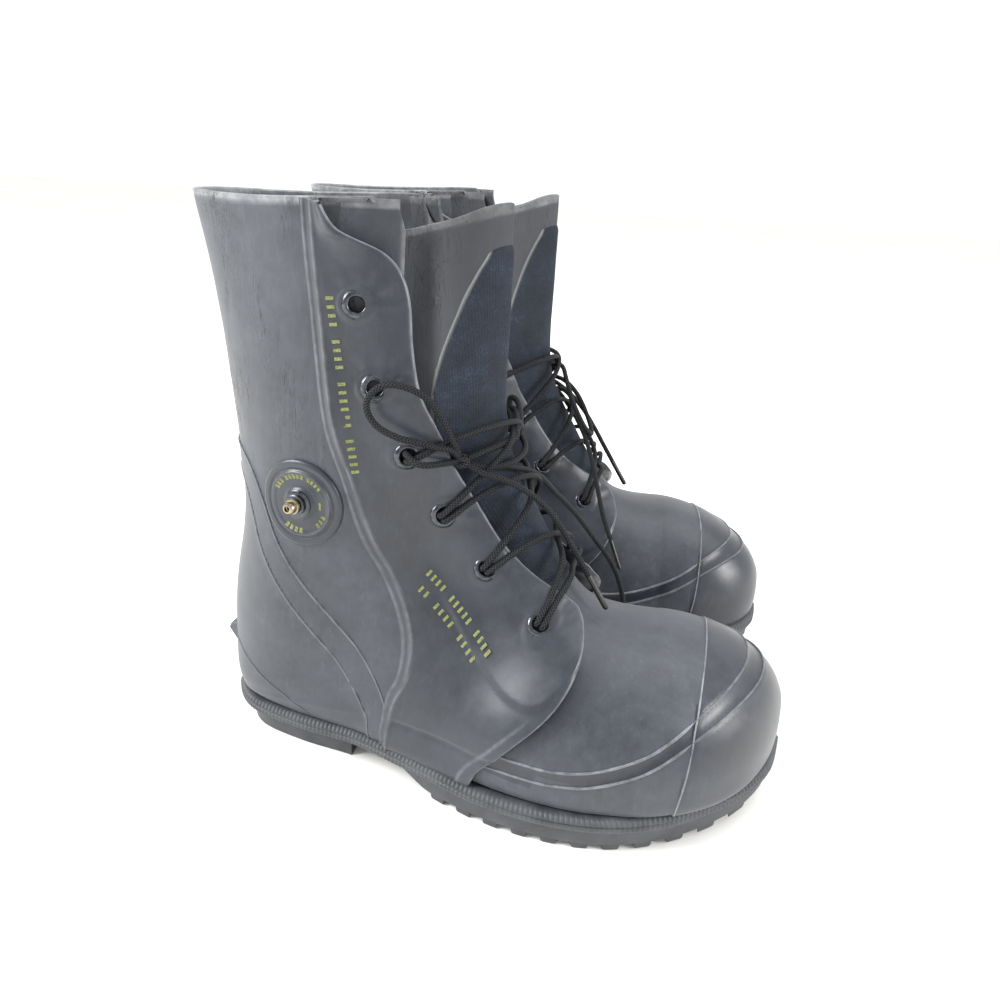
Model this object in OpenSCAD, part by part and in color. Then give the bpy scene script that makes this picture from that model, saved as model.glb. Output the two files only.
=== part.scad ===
// Insulated rubber cold weather boots: a laced pair, each with an air release valve.
// +X points to the toes, +Y to the left boot and +Z up. The floor is at Z = 0.
// Each boot is drawn as a right boot and the left one is its mirror image.

/* [Boot] */
// Length of the upper, heel to toe
boot_length = 305; // [270:1:340]
// Height of the top rim
boot_height = 285; // [250:1:320]
// Width of the upper across the ball of the foot
ball_width = 120; // [104:1:132]
// Front to back length of the shaft opening
shaft_depth = 154; // [140:1:168]
// Side to side width of the shaft opening
shaft_width = 78; // [68:1:90]

/* [Walls] */
// Thickness of the outer rubber
rubber_wall = 2.4; // [1.8:0.1:3]
// Thickness of the wool felt between the two rubber walls
felt_wall = 6; // [4:0.5:8]
// Thickness of the inner rubber lining
lining_wall = 1.6; // [1.2:0.1:2.4]
// Depth of the thin collar that stands above the felt
collar_depth = 26; // [18:1:40]

/* [Sole] */
// Thickness of the outsole edge over the heel block
sole_edge = 5; // [4:0.5:7]
// Height of the tread lugs
lug_height = 4; // [2.5:0.5:5]
// Height of the heel block
heel_height = 13; // [10:0.5:16]
// Inset of the heel block from the sole edge
heel_inset = 4.5; // [2:0.5:7]
// Length of the heel block
heel_length = 84; // [70:1:96]
// Rise of the sole at the toe
toe_spring = 7; // [3:0.5:10]
// Height of the ribbed welt strip
welt_height = 6; // [4:0.5:8]
// Reach of the welt beyond the upper
welt_reach = 3; // [2:0.25:4]
// Width of the ledge on the back of the heel
ledge_width = 32; // [24:1:44]
// Reach of the ledge behind the heel
ledge_reach = 3; // [2:0.5:5]

/* [Facing] */
// Thickness of the eyelet facing
facing_wall = 2.4; // [2:0.1:3]
// Lift of the facing's front edge off the gusset
facing_lift = 7; // [5:0.5:9]
// Bore of the eyelets
eyelet_bore = 6.6; // [6:0.1:7.5]
// Diameter of the eyelet flange
eyelet_flange = 13; // [12:0.2:14]
// Thickness of the reinforcing layer on the gusset
patch_wall = 1.2; // [0.8:0.1:2]

/* [Air valve] */
// Diameter of the rubber valve disc
valve_disc = 44; // [38:1:50]
// Rise of the valve disc off the boot
valve_rise = 2.6; // [2:0.2:3.4]
// Diameter of the brass valve body
valve_body_d = 11; // [9:0.5:13]
// Diameter of the turning valve stem
valve_stem_d = 6; // [5:0.25:7]
// Reach of the stem beyond the valve body
valve_stem_reach = 6; // [4:0.5:8]

/* [Laces] */
// Diameter of the lace
lace_d = 3; // [2.5:0.1:3.4]

/* [Pair] */
// Side step from the right boot to the left
pair_step = 155; // [145:1:180]
// How far the left boot's toe turns out
pair_turn = 8; // [0:1:12]

/* [Hidden] */
KINDS = ["vamp", "toe_cap", "ridge_band", "foxing", "outer_facing", "inner_facing", "outer_quarter",
    "inner_quarter", "counter_stay", "heel_counter", "gusset", "gusset_patch", "heel_ledge", "welt",
    "outsole", "heel_block", "felt", "lining", "insole", "shank", "outer_eyelets", "inner_eyelets",
    "eyelet_backs", "valve_disc", "valve_body", "valve_stem", "lace", "lace_bow", "lace_tips"];

// Scales from the drawn boot to the sizes above
drawn_sole = 18;
sole_top = heel_height + sole_edge;
kx = boot_length / 308;
kz = (boot_height - sole_top) / (285 - drawn_sole);
kw = ball_width / 120;
kd = shaft_depth / 154;
ks = shaft_width / 78;
fit = 0.3;
liner_gap = 0.05;
turn_gap = 0.05;
sole_gap = 0.4;
lining_depth = rubber_wall + felt_wall;
inside = lining_depth + lining_wall;

// Cross sections from the ball of the foot, round the heel and up the shaft. Each row holds
// the lower or rear point X Z, the upper or front point X Z, the outer and inner half widths,
// the height share of the widest place, and the roundness below and above it.
SECTIONS = [
    [236, 18, 238, 91, 68, 52, 0.28, 8, 2.1],
    [212, 18, 220, 92, 71, 52, 0.26, 8, 2.0],
    [186, 18, 207, 96, 70, 49, 0.25, 8, 1.9],
    [156, 18, 198, 104, 64, 44, 0.25, 8, 1.8],
    [122, 18, 187, 118, 54, 41, 0.27, 8, 1.75],
    [84, 18, 177, 133, 45, 39, 0.32, 7.5, 1.7],
    [44, 18, 168, 148, 41, 39, 0.40, 6, 1.65],
    [11, 24, 160, 162, 41, 40, 0.45, 3.2, 1.6],
    [5, 52, 154, 175, 42, 41, 0.48, 2.4, 1.55],
    [7, 88, 151, 190, 43, 42, 0.49, 2.1, 1.5],
    [13, 124, 150, 205, 43, 42, 0.50, 2.0, 1.45],
    [13, 160, 150, 222, 43, 42, 0.50, 2.0, 1.4],
    [9, 200, 150, 241, 41, 41, 0.50, 2.0, 1.35],
    [4, 240, 150, 262, 40, 40, 0.50, 2.0, 1.3],
    [-4, 285, 150, 287, 39, 39, 0.50, 2.0, 1.25]
];
TOP = len(SECTIONS) - 1;
TOE_RINGS = 3;
RINGS = 13;
AROUND = 12;
LINER_AROUND = 10;

// Plan of the sole from the back of the heel along the outer side to the toe and back inside
OUTER_PLAN = [[7, 0], [11, -15], [25, -29], [54, -37], [90, -42], [126, -54], [160, -66], [190, -71],
    [220, -70], [246, -62], [270, -48], [290, -30], [303, -10], [308, 12]];
INNER_PLAN = [[7, 0], [11, 15], [25, 28], [54, 35], [90, 38], [126, 41], [160, 45], [190, 50],
    [220, 54], [246, 55], [270, 52], [290, 44], [303, 30], [308, 12]];

function clamp01(v) = min(1, max(0, v));
function mix(a, b, f) = a + (b - a) * f;
function smooth(v) = let (c = clamp01(v)) c * c * (3 - 2 * c);
// Smooth curve through rows of numbers
function spline(rows, u) =
    let (last = len(rows) - 1, i = min(last - 1, max(0, floor(u))), f = u - i,
        a = rows[max(0, i - 1)], b = rows[i], c = rows[i + 1], d = rows[min(last, i + 2)])
    b + 0.5 * f * ((c - a) + f * ((2 * a - 5 * b + 4 * c - d) + f * (3 * (b - c) + d - a)));
// Value of a line of points at place v, where number i of each point falls or rises throughout
function along(rows, v, i = 0) =
    let (last = len(rows) - 1,
        k = [for (j = [0 : last - 1]) if ((rows[j][i] - v) * (rows[j + 1][i] - v) <= 0) j],
        n = len(k) > 0 ? k[0] : abs(v - rows[0][i]) < abs(v - rows[last][i]) ? 0 : last - 1,
        f = clamp01((v - rows[n][i]) / (rows[n + 1][i] - rows[n][i])))
    mix(rows[n][1 - i], rows[n + 1][1 - i], f);

// A drawn side view point at the boot's own size, with the shaft's depth kept apart
function placed(p) = [p[0] * mix(kx, kd, smooth((p[1] - 100) / 100)),
    p[1] < drawn_sole ? p[1] * sole_top / drawn_sole : sole_top + (p[1] - drawn_sole) * kz];
function line(rows) = [for (r = rows) placed(r)];
function spring(x) = toe_spring * pow(clamp01((x / kx - 225) / 83), 2);

// One ring of the upper, set in by d: rear point, front point, widths, shape and middle
function shaft_ring(u, d) =
    let (s = spline(SECTIONS, u), b = placed([s[0], s[1]]), t = placed([s[2], s[3]]),
        v = (t - b) / norm(t - b), k = mix(kw, ks, smooth((u - 4) / 5)))
    [b + v * d, t - v * d, s[4] * k - d, s[5] * k - d, s[6], s[7], s[8], 0];
toe_start = placed([236, 18])[0];
function toe_ring(q, d) =
    let (r = shaft_ring(0, d), reach = boot_length - toe_start - d, mid = sole_top + 22 * kz,
        up = pow(1 - pow(q, 1.8), 1 / 1.8), low = pow(1 - pow(q, 5), 0.2),
        wide = pow(1 - pow(q, 2), 1 / 2), lift = spring(toe_start + reach * q))
    [[toe_start + reach * q, mix(mid, r[0][1], low) + lift],
        [toe_start + 2 + (reach - 2) * q, mix(mid, r[1][1], up) + lift],
        r[2] * wide, r[3] * wide, r[4], r[5], r[6], 13 * q];
function ring_at(u, d) = u < 0 ? toe_ring(sin(-u * 90), d) : shaft_ring(u, d);
// A point on the upper: u runs up the boot, a turns round it from the sole by the outer side
function skin_point(u, a, d) =
    let (r = ring_at(u, d), low = cos(a) > 0, e = 2 / (low ? r[5] : r[6]),
        c = pow(abs(cos(a)), e), w = pow(abs(sin(a)), e),
        p = mix(r[0], r[1], low ? r[4] * (1 - c) : r[4] + (1 - r[4]) * c))
    [p[0], r[7] + (sin(a) > 0 ? -r[2] : r[3]) * w, p[1]];
function toe_us(n) = [for (i = [1 : n]) -(1 - i / (n + 1) * 0.985)];
ring_us = concat(toe_us(TOE_RINGS), [for (i = [0 : RINGS - 1]) TOP * i / (RINGS - 1)]);
liner_us = concat(toe_us(2), [for (i = [0 : 9]) TOP * i / 9]);

// The ring and turn that pass through a placed side view point
find_us = [for (i = [0 : 56]) TOP * i / 56];
function side_of(u, p) = let (r = shaft_ring(u, 0), v = r[1] - r[0], w = p - r[0]) v[0] * w[1] - v[1] * w[0];
function u_of(p) =
    let (hit = [for (i = [0 : len(find_us) - 2])
            let (a = side_of(find_us[i], p), b = side_of(find_us[i + 1], p))
            if (a * b <= 0) mix(find_us[i], find_us[i + 1], a / (a - b))])
    len(hit) > 0 ? hit[0] : TOP;
function turn_of(u, p) =
    let (r = shaft_ring(u, 0), v = r[1] - r[0], s = clamp01(((p - r[0]) * v) / (v * v)), low = s < r[4],
        c = low ? 1 - s / r[4] : (s - r[4]) / (1 - r[4]), t = acos(pow(c, (low ? r[5] : r[6]) / 2)))
    low ? t : 180 - t;
// A point over the side of the boot, m = 1 on the outer side and -1 on the inner, h off the skin
function side_point(p, m, h = 0) =
    let (u = u_of(p), a = turn_of(u, p)) skin_point(u, m > 0 ? a : 360 - a, -h);
function side_normal(p, m) =
    let (a = side_point(p + [5, 0], m) - side_point(p - [5, 0], m),
        b = side_point(p + [0, 5], m) - side_point(p - [0, 5], m), c = cross(a, b) * m)
    c / norm(c);

// Side view lines that divide the upper, as drawn
CAP_LINE = [[254, -20], [257, 20], [260, 45], [262, 70], [266, 130]];
RIDGE_LINE = [[110, 40], [175, 42], [200, 43], [220, 47], [240, 55], [255, 64], [268, 72], [290, 79],
    [340, 84]];
FRONT_LINE = [[150, -20], [160, 25], [170, 40], [181, 54], [197, 70], [204, 83], [200, 94], [190, 103],
    [170, 116], [153, 131], [140, 149], [130, 167], [123, 186], [116, 204], [112, 226], [110, 247],
    [105, 262], [96, 271], [84, 277], [72, 300]];
SEAT_LINE = [[120, -20], [126, 25], [134, 40], [142, 54], [148, 68], [151, 84], [150, 96], [138, 107],
    [127, 119], [116, 133], [106, 148], [96, 170], [89, 190], [83, 210], [78, 230], [75, 250], [72, 300]];
BACK_LINE = [[102, -20], [106, 41], [113, 62], [114, 79], [110, 95], [102, 114], [92, 134], [84, 161],
    [75, 191], [70, 231], [67, 269], [66, 300]];
STAY_TOP = [[-30, 172], [8, 168], [30, 158], [46, 128], [60, 107], [75, 89], [91, 71], [107, 46],
    [110, 30], [112, -20]];
STAY_LOW = [[-30, 160], [8, 156], [24, 146], [36, 120], [50, 97], [65, 78], [80, 61], [95, 38],
    [98, 28], [99, -20]];
THROAT_LINE = [[60, 62], [150, 84], [172, 90], [190, 93], [205, 98], [215, 130]];
PATCH_LINE = [[205, 120], [203, 100], [180, 104], [158, 120], [142, 138], [131, 158], [124, 180], [121, 199],
    [124, 221], [130, 245], [137, 262], [144, 270], [170, 278]];
EYELETS = [[91, 244], [99, 208], [112, 176], [128, 145], [151, 119], [181, 96]];
ridge_gap = 8;
valve_at = placed([63, 148]);
ledge_at = placed([6, 54]);
rim_z = boot_height - collar_depth;

// Lift of the facing off the skin at a placed side view point
function lift(p) =
    let (x0 = along(line(SEAT_LINE), p[1], 1), x1 = along(line(FRONT_LINE), p[1], 1))
    facing_lift * smooth(1.15 * (p[0] - x0) / max(4, x1 - x0)) * smooth((p[1] - sole_top - 12) / 40);

// Closed tube of rings, with flat ends or joined end to start
module loft(rings, closed = false) {
    n = len(rings[0]);
    last = len(rings) - 1;
    polyhedron([for (r = rings) each r], concat(
        [for (i = [0 : closed ? last : last - 1]) for (j = [0 : n - 1])
            let (k = (j + 1) % n, a = i * n, b = (i == last ? 0 : i + 1) * n)
            each [[a + j, b + k, a + k], [a + j, b + j, b + k]]],
        closed ? [] : [[for (j = [0 : n - 1]) j], [for (j = [0 : n - 1]) last * n + n - 1 - j]]));
}
function around(d) = d > rubber_wall + 1 ? LINER_AROUND : AROUND;
function skin_ring(u, d) = [for (j = [0 : around(d) - 1]) skin_point(u, j * 360 / around(d), d)];
// The whole boot as one solid form, set in by d
module form(d) { loft([for (u = d > rubber_wall + 1 ? liner_us : ring_us) skin_ring(u, d)]); }
// The wall between two depths, open at the top
module wall(d0, d1) {
    difference() {
        form(d0);
        form(d1);
        loft([for (k = [-1, 20]) [for (p = skin_ring(TOP, d1)) p + [0, 0, k]]]);
    }
}
// The facing's own sheet, lifted off the skin
module facing_sheet() {
    rings = function (wall) [for (u = ring_us) [for (j = [0 : AROUND - 1])
        let (a = j * 360 / AROUND, p = skin_point(u, a, 0), h = lift([p[0], p[2]]))
        skin_point(u, a, -h - wall)]];
    difference() {
        loft(rings(facing_wall));
        loft(rings(0));
    }
}
// A side view outline cut through the boot between two side steps
module cut(points, y0 = -150, y1 = 150)
    translate([0, y1, 0]) rotate([90, 0, 0]) linear_extrude(y1 - y0) polygon(points);
function ahead(rows) = concat(line(rows), [[600, 500], [600, -100]]);
function behind(rows) = concat(line(rows), [[-200, 500], [-200, -100]]);
function above(rows) = concat(line(rows), [[600, 500], [-200, 500]]);
function under(rows, drop = 0) = concat([for (p = line(rows)) p - [0, drop]], [[600, -100], [-200, -100]]);
// Turns a shape drawn on +Z to stand on the side of the boot
module on_side(p, m, h = 0) {
    n = side_normal(p, m);
    translate(side_point(p, m, h)) rotate([0, acos(n[2]), atan2(n[1], n[0])]) children();
}
// Keeps a shape of flat facets as one mesh
module mesh() { resize([0, 0, 0]) children(); }
// Both boots stand about the middle of the pair
middle = [boot_length / 2 - 2, pair_step / 2 + 4, 0];
module right_side() { translate(-middle) children(); }
module left_side() {
    translate([145, pair_step, 0] - middle) rotate(pair_turn)
        mirror([0, 1, 0]) translate([-150, 0, 0]) children();
}

// Outer rubber
module skin() { wall(0, rubber_wall); }
module vamp() color("#3c4046") mesh() intersection() {
    skin();
    difference() {
        cut(ahead(SEAT_LINE));
        cut(ahead(CAP_LINE));
        cut(under(RIDGE_LINE));
        cut(above(THROAT_LINE));
    }
}
module toe_cap() color("#33373d") mesh() intersection() {
    skin();
    cut(ahead(CAP_LINE));
}
module ridge_band() color("#2f333a") mesh() intersection() {
    skin();
    difference() {
        cut(ahead(SEAT_LINE));
        cut(ahead(CAP_LINE));
        cut(above(RIDGE_LINE));
        cut(under(RIDGE_LINE, ridge_gap));
    }
}
module foxing() color("#363a41") mesh() intersection() {
    skin();
    difference() {
        cut(ahead(SEAT_LINE));
        cut(ahead(CAP_LINE));
        cut(above([for (p = RIDGE_LINE) p - [0, ridge_gap / kz]]));
    }
}
module quarter(m) mesh() intersection() {
    difference() {
        skin();
        if (m > 0) valve_hole();
    }
    difference() {
        cut(behind(SEAT_LINE), m > 0 ? -150 : 0, m > 0 ? 0 : 150);
        cut(under(STAY_TOP));
    }
}
module outer_quarter() color("#3a3e45") quarter(1);
module inner_quarter() color("#3a3e45") quarter(-1);
module counter_stay() color("#3f434a") mesh() intersection() {
    skin();
    difference() {
        cut(under(STAY_TOP));
        cut(under(STAY_LOW));
        cut(ahead(SEAT_LINE));
    }
}
module heel_counter() color("#3d4147") mesh() intersection() {
    skin();
    cut(under(STAY_LOW));
}
module gusset() color("#4a4a46") mesh() intersection() {
    skin();
    difference() {
        cut(ahead(SEAT_LINE));
        cut(under(THROAT_LINE));
        cut(under([[-50, 40], [150, 60], [225, 118], [400, 118]]));
    }
}
module gusset_patch() color("#23272e") mesh() intersection() {
    wall(-patch_wall, 0);
    cut(ahead(PATCH_LINE));
    cut(above(THROAT_LINE));
}
module facing(m) mesh() difference() {
    intersection() {
        union() {
            facing_sheet();
            for (p = EYELETS) eyelet_pad(placed(p), m);
        }
        difference() {
            cut(behind(FRONT_LINE), m > 0 ? -150 : 4, m > 0 ? -4 : 150);
            cut(behind(BACK_LINE));
            translate([-200, -150, -100]) cube([700, 300, 101.8 + sole_top]);
        }
    }
    for (p = EYELETS) on_eyelet(placed(p), m) {
        translate([0, 0, -12]) cylinder(d = (barrel_d + fit) / cos(22.5), h = 24, $fn = 8);
        for (z = [-pad_thick / 2 - 6, pad_thick / 2]) translate([0, 0, z])
            cylinder(d = (eyelet_flange + fit) / cos(22.5), h = 6, $fn = 8);
    }
}
module outer_facing() color("#3b3f46") facing(1);
module inner_facing() color("#3b3f46") facing(-1);

// Eyelets: a rolled front half with the bore, and a washer clenched behind
barrel_d = eyelet_bore + 1.2;
pad_thick = facing_wall + 1.2;
module on_eyelet(p, m) { on_side(p, m, lift(p) + facing_wall / 2) children(); }
module eyelet_pad(p, m) on_eyelet(p, m)
    translate([0, 0, -pad_thick / 2]) cylinder(d = eyelet_flange + 4.5, h = pad_thick, $fn = 8);
module eyelet() {
    top = pad_thick / 2;
    roll = (eyelet_flange - barrel_d) / 4;
    difference() {
        union() {
            translate([0, 0, -top]) cylinder(d = barrel_d, h = pad_thick + 0.5, $fn = 48);
            translate([0, 0, top]) rotate_extrude($fn = 48)
                translate([barrel_d / 2, 0]) intersection() {
                    translate([roll, 0]) circle(r = roll * 1.02, $fn = 24);
                    square([roll * 2, roll]);
                }
        }
        translate([0, 0, -10]) cylinder(d = eyelet_bore, h = 20, $fn = 48);
    }
}
module eyelets(m) { for (p = EYELETS) on_eyelet(placed(p), m) eyelet(); }
module outer_eyelets() color("#1c1e22") eyelets(1);
module inner_eyelets() color("#1c1e22") eyelets(-1);
module eyelet_backs() color("#1c1e22") for (m = [1, -1]) for (p = EYELETS)
    on_eyelet(placed(p), m) translate([0, 0, -pad_thick / 2 - 0.8]) difference() {
        cylinder(d = eyelet_flange - 0.6, h = 0.8, $fn = 48);
        translate([0, 0, -1]) cylinder(d = eyelet_bore, h = 3, $fn = 48);
    }

// Air valve: rubber disc, brass body and turning stem
module on_valve() { on_side(valve_at, 1) children(); }
module valve_hole() on_valve() translate([0, 0, -12])
    cylinder(d = (valve_body_d + fit) / cos(11.25), h = 24, $fn = 16);
module valve_disc() color("#30343b") mesh() difference() {
    union() {
        on_valve() translate([0, 0, -6]) cylinder(d = valve_disc, h = 6 + valve_rise * 0.6, $fn = 24);
        on_valve() difference() {
            translate([0, 0, -1]) cylinder(d = valve_disc - 1.6, h = 1 + valve_rise, $fn = 24);
            translate([0, 0, valve_rise * 0.6]) cylinder(d = valve_disc * 0.72, h = 6, $fn = 16);
        }
        on_valve() cylinder(d = valve_body_d + 6, h = valve_rise, $fn = 16);
    }
    form(0);
    valve_hole();
}
valve_seat = rubber_wall - fit;
module valve_body() color("#9a8450") on_valve() difference() {
    union() {
        translate([0, 0, -valve_seat]) cylinder(d = valve_body_d, h = valve_seat + valve_rise + 1, $fn = 48);
        translate([0, 0, valve_rise]) cylinder(d = valve_body_d + 3, h = 1, $fn = 48);
        translate([0, 0, valve_rise + 1]) cylinder(d = valve_body_d - 1, h = 2, $fn = 6);
    }
    translate([0, 0, -10]) cylinder(d = 2.4, h = 30, $fn = 32);
    translate([0, 0, valve_rise]) cylinder(d = valve_stem_d + 2 * turn_gap, h = 10, $fn = 48);
}
module valve_stem() color("#b4a27a") on_valve() translate([0, 0, valve_rise]) difference() {
    union() {
        cylinder(d = valve_stem_d, h = 3 + valve_stem_reach - 1, $fn = 48);
        translate([0, 0, 3.4]) cylinder(d = valve_stem_d + 1.6, h = 1.6, $fn = 48);
        translate([0, 0, 2 + valve_stem_reach])
            cylinder(d1 = valve_stem_d, d2 = valve_stem_d - 1.6, h = 1, $fn = 48);
    }
    translate([0, 0, -1]) cylinder(d = 2, h = 20, $fn = 32);
    translate([0, 0, 1.4 + valve_stem_reach]) cylinder(d = 3, h = 20, $fn = 32);
}

// Sole
plan_half = 17;
function plan_points(rows) = [for (i = [0 : plan_half])
    let (p = spline(rows, (len(rows) - 1) * i / plan_half)) [p[0] * kx, p[1] * kw]];
outer_plan = plan_points(OUTER_PLAN);
inner_plan = plan_points(INNER_PLAN);
plan = concat(outer_plan, [for (i = [plan_half - 1 : -1 : 1]) inner_plan[i]]);
function sole_low(x) = mix(heel_height, lug_height, smooth((x - heel_length - 26) / 26)) + spring(x);
function sole_high(x) = sole_top + spring(x);
module outsole_plate() {
    n = len(plan);
    low = [for (p = plan) [p[0], p[1], sole_low(p[0])]];
    high = [for (p = plan) [p[0], p[1], sole_high(p[0]) - sole_gap]];
    polyhedron(concat(low, high), concat(
        [for (j = [0 : n - 1]) let (k = (j + 1) % n) each [[j, n + k, k], [j, n + j, n + k]]],
        [for (j = [0 : plan_half - 1]) let (a = j, b = j + 1, c = (n - j - 1) % n, d = (n - j) % n)
            each concat(j > 0 ? [[a, b, d], [a + n, d + n, b + n]] : [],
                j < plan_half - 1 ? [[b, c, d], [b + n, d + n, c + n]] : [])]));
}
function edge_y(rows, x) = along(rows, x);
module lugs() {
    for (i = [0 : 10]) let (x0 = (136 + i * 15) * kx, x1 = x0 + 9)
        translate([0, 0, spring(x0 + 4)]) linear_extrude(lug_height + 1.5) polygon([
            [x0, edge_y(outer_plan, x0) + 1.5], [x1, edge_y(outer_plan, x1) + 1.5],
            [x1, edge_y(inner_plan, x1) - 1.5], [x0, edge_y(inner_plan, x0) - 1.5]]);
}
module outsole() color("#2b2e33") mesh() difference() {
    union() {
        outsole_plate();
        lugs();
    }
    shank_shape(fit);
}
module shank_shape(gap) translate([56 * kx - gap, -9 - gap, sole_top - 2])
    cube([88 * kx + 2 * gap, 18 + 2 * gap, 1.6 + 3 * gap]);
module shank() color("#8a8d92") shank_shape(0);
module heel_block() color("#2b2e33") linear_extrude(heel_height) intersection() {
    offset(delta = -heel_inset) polygon(plan);
    translate([-20, -100]) square([20 + heel_length, 200]);
}
module welt() color("#3a3d42") mesh() {
    n = len(plan);
    loft([for (i = [0 : n - 1])
        let (p = plan[i], v = plan[(i + 1) % n] - plan[(i + n - 1) % n], t = [-v[1], v[0]] / norm(v) * -1,
            z = sole_high(p[0]), q = p + t * welt_reach)
        [[p[0], p[1], z + 1.5], [q[0], q[1], z + 1],
            [q[0], q[1], z + 1.5 - welt_height], [p[0], p[1], z + 1.5 - welt_height]]], closed = true);
}
ledge_shape = [[16, 6], [1.5 - ledge_reach, 3], [-ledge_reach, 0], [2, -8], [16, -8]];
module heel_ledge() color("#35383e") mesh() difference() {
    translate([0, ledge_width / 2, 0]) rotate([90, 0, 0]) linear_extrude(ledge_width)
        polygon([for (p = ledge_shape) ledge_at + p]);
    form(0);
}

// Felt sealed between the outer rubber and the lining
module felt() color("#b9b2a2") mesh() intersection() {
    wall(rubber_wall, lining_depth);
    cut([[-200, -100], [600, -100], [600, rim_z - 3], [-200, rim_z - 3]]);
}
module lining() color("#4d4f52") mesh() union() {
    intersection() {
        wall(lining_depth + liner_gap, inside);
        cut([[-200, -100], [600, -100], [600, rim_z], [-200, rim_z]]);
    }
    intersection() {
        wall(rubber_wall, lining_depth + 1);
        cut([[-200, rim_z - 3], [600, rim_z - 3], [600, rim_z], [-200, rim_z]]);
    }
}
module insole() color("#8d8778") mesh() intersection() {
    form(inside + liner_gap);
    difference() {
        cut([[-200, -100], [600, -100], [600, sole_top + inside + 4], [-200, sole_top + inside + 4]]);
        translate([240 * kx, -150, -50]) cube([200, 300, 300]);
    }
}
// Laces: strands between the four lower eyelet pairs, a knot, two loops and two tails
KNOT = [137, -27, 174];
OUTER_LOOP = [KNOT, [134, -34, 181], [129, -39, 183], [121, -44, 186], [113, -49, 189], [104, -51, 194],
    [100, -52, 202], [103, -53, 209], [109, -52, 213], [117, -49, 212], [125, -45, 207], [130, -40, 198],
    [134, -36, 188], KNOT];
INNER_LOOP = [KNOT, [146, -22, 178], [155, -10, 181], [158, 3, 186], [154, 16, 193], [148, 26, 192],
    [148, 29, 184], [154, 20, 178], [161, 6, 173], [158, -8, 170], [148, -20, 170], KNOT];
INNER_TAIL = [KNOT, [146, -22, 170], [157, -10, 168], [168, 6, 160], [175, 22, 146], [185, 38, 129],
    [196, 50, 110], [206, 57, 94], [213, 61, 78], [217, 63, 60], [219, 64, 40], [221, 65, 20],
    [225, 66, 7], [232, 66, 1.6], [242, 66, 1.6], [254, 67, 1.6], [266, 70, 1.6]];
OUTER_TAIL = [KNOT, [147, -26, 169], [158, -22, 165], [169, -17, 158], [178, -13, 149],
  [186, -11, 138], [193, -10, 127], [200, -10, 116]];
LEFT_OUTER_LOOP = [KNOT, [136, -35, 178], [132, -41, 176], [128, -47, 168], [128, -52, 156], [132, -55, 144],
    [139, -55, 138], [146, -51, 143], [147, -45, 153], [144, -38, 163], [141, -32, 170], KNOT];
LEFT_INNER_LOOP = [KNOT, [147, -22, 178], [157, -9, 181], [161, 5, 182], [164, 16, 176], [170, 22, 162],
    [178, 22, 148], [183, 15, 142], [180, 6, 150], [172, -2, 163], [162, -12, 170], [149, -22, 171], KNOT];
LEFT_INNER_TAIL = [KNOT, [147, -22, 167], [158, -10, 163], [168, 4, 155], [177, 18, 144], [184, 32, 130],
    [189, 42, 114], [194, 49, 98], [200, 54, 84]];
TAIL_END = 20;

function unit(v) = v / norm(v);
// Rings of a round cord along a path, kept from twisting
function cord_rings(path, d) =
    let (last = len(path) - 1,
        t = [for (i = [0 : last]) unit(path[min(last, i + 1)] - path[max(0, i - 1)])],
        n0 = abs(t[0][2]) < 0.9 ? [0, 0, 1] : [1, 0, 0],
        n = [for (i = 0, v = unit(cross(cross(t[0], n0), t[0])); i <= last;
            i = i + 1, v = i <= last ? unit(cross(cross(t[i], v), t[i])) : v) v])
    [for (i = [0 : last]) let (b = cross(t[i], n[i]))
        [for (j = [0 : 7]) path[i] + d / 2 * (n[i] * cos(j * 45) + b * sin(j * 45))]];
module cord(path, d = lace_d) { loft(cord_rings(path, d)); }

function eyelet_u(k) = u_of(placed(EYELETS[k]));
function eyelet_turn(k, m) = let (t = turn_of(eyelet_u(k), placed(EYELETS[k]))) m > 0 ? t : 360 - t;
function eyelet_mid(k, m) = let (p = placed(EYELETS[k])) side_point(p, m, lift(p) + facing_wall / 2);
function eyelet_out(k, m) = side_normal(placed(EYELETS[k]), m);
function eyelet_step(k, m) =
    let (n = eyelet_out(k, m), a = placed(EYELETS[max(0, k - 1)]), b = placed(EYELETS[min(5, k + 1)]),
        v = [a[0] - b[0], 0, a[1] - b[1]])
    unit(v - n * (v * n));
// Height of a strand over the skin on its way across, f from 0 at one eyelet to 1 at the other
function strand_height(f, over) =
    let (g = min(f, 1 - f), edge = facing_lift + facing_wall + lace_d * 0.75)
    g < 0.24 ? mix(lift(placed(EYELETS[4])) + facing_wall + lace_d, edge, smooth(g / 0.16)) :
    mix(edge, patch_wall + lace_d * 0.85 + over, smooth((g - 0.24) / 0.26));
function bore_end(k, m, s) = [for (h = [-pad_thick / 2 - 0.6, pad_thick / 2 + 3.8])
    eyelet_mid(k, m) + eyelet_step(k, m) * s * (lace_d / 2 + 0.12) + eyelet_out(k, m) * h];
function strand(k0, m0, s0, k1, m1, s1, over) =
    let (u0 = eyelet_u(k0), u1 = eyelet_u(k1), a0 = eyelet_turn(k0, m0), a1 = eyelet_turn(k1, m1),
        e = bore_end(k1, m1, s1))
    concat(bore_end(k0, m0, s0),
        [for (f = [0.12, 0.26, 0.5, 0.74, 0.88])
            skin_point(mix(u0, u1, f), mix(a0, a1, f), -strand_height(f, over))],
        [e[1], e[0]]);
function knot_strand(m) =
    let (a = bore_end(2, m, 1))
    m > 0 ? concat(a, [[124, -45, 176], KNOT]) :
    concat(a, [for (f = [0.14, 0.28, 0.44, 0.6, 0.76, 0.88])
        skin_point(mix(eyelet_u(2), 8, f), mix(eyelet_turn(2, m), 156, f),
            -strand_height(f * 0.72, lace_d * 0.8))], [KNOT]);
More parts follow.
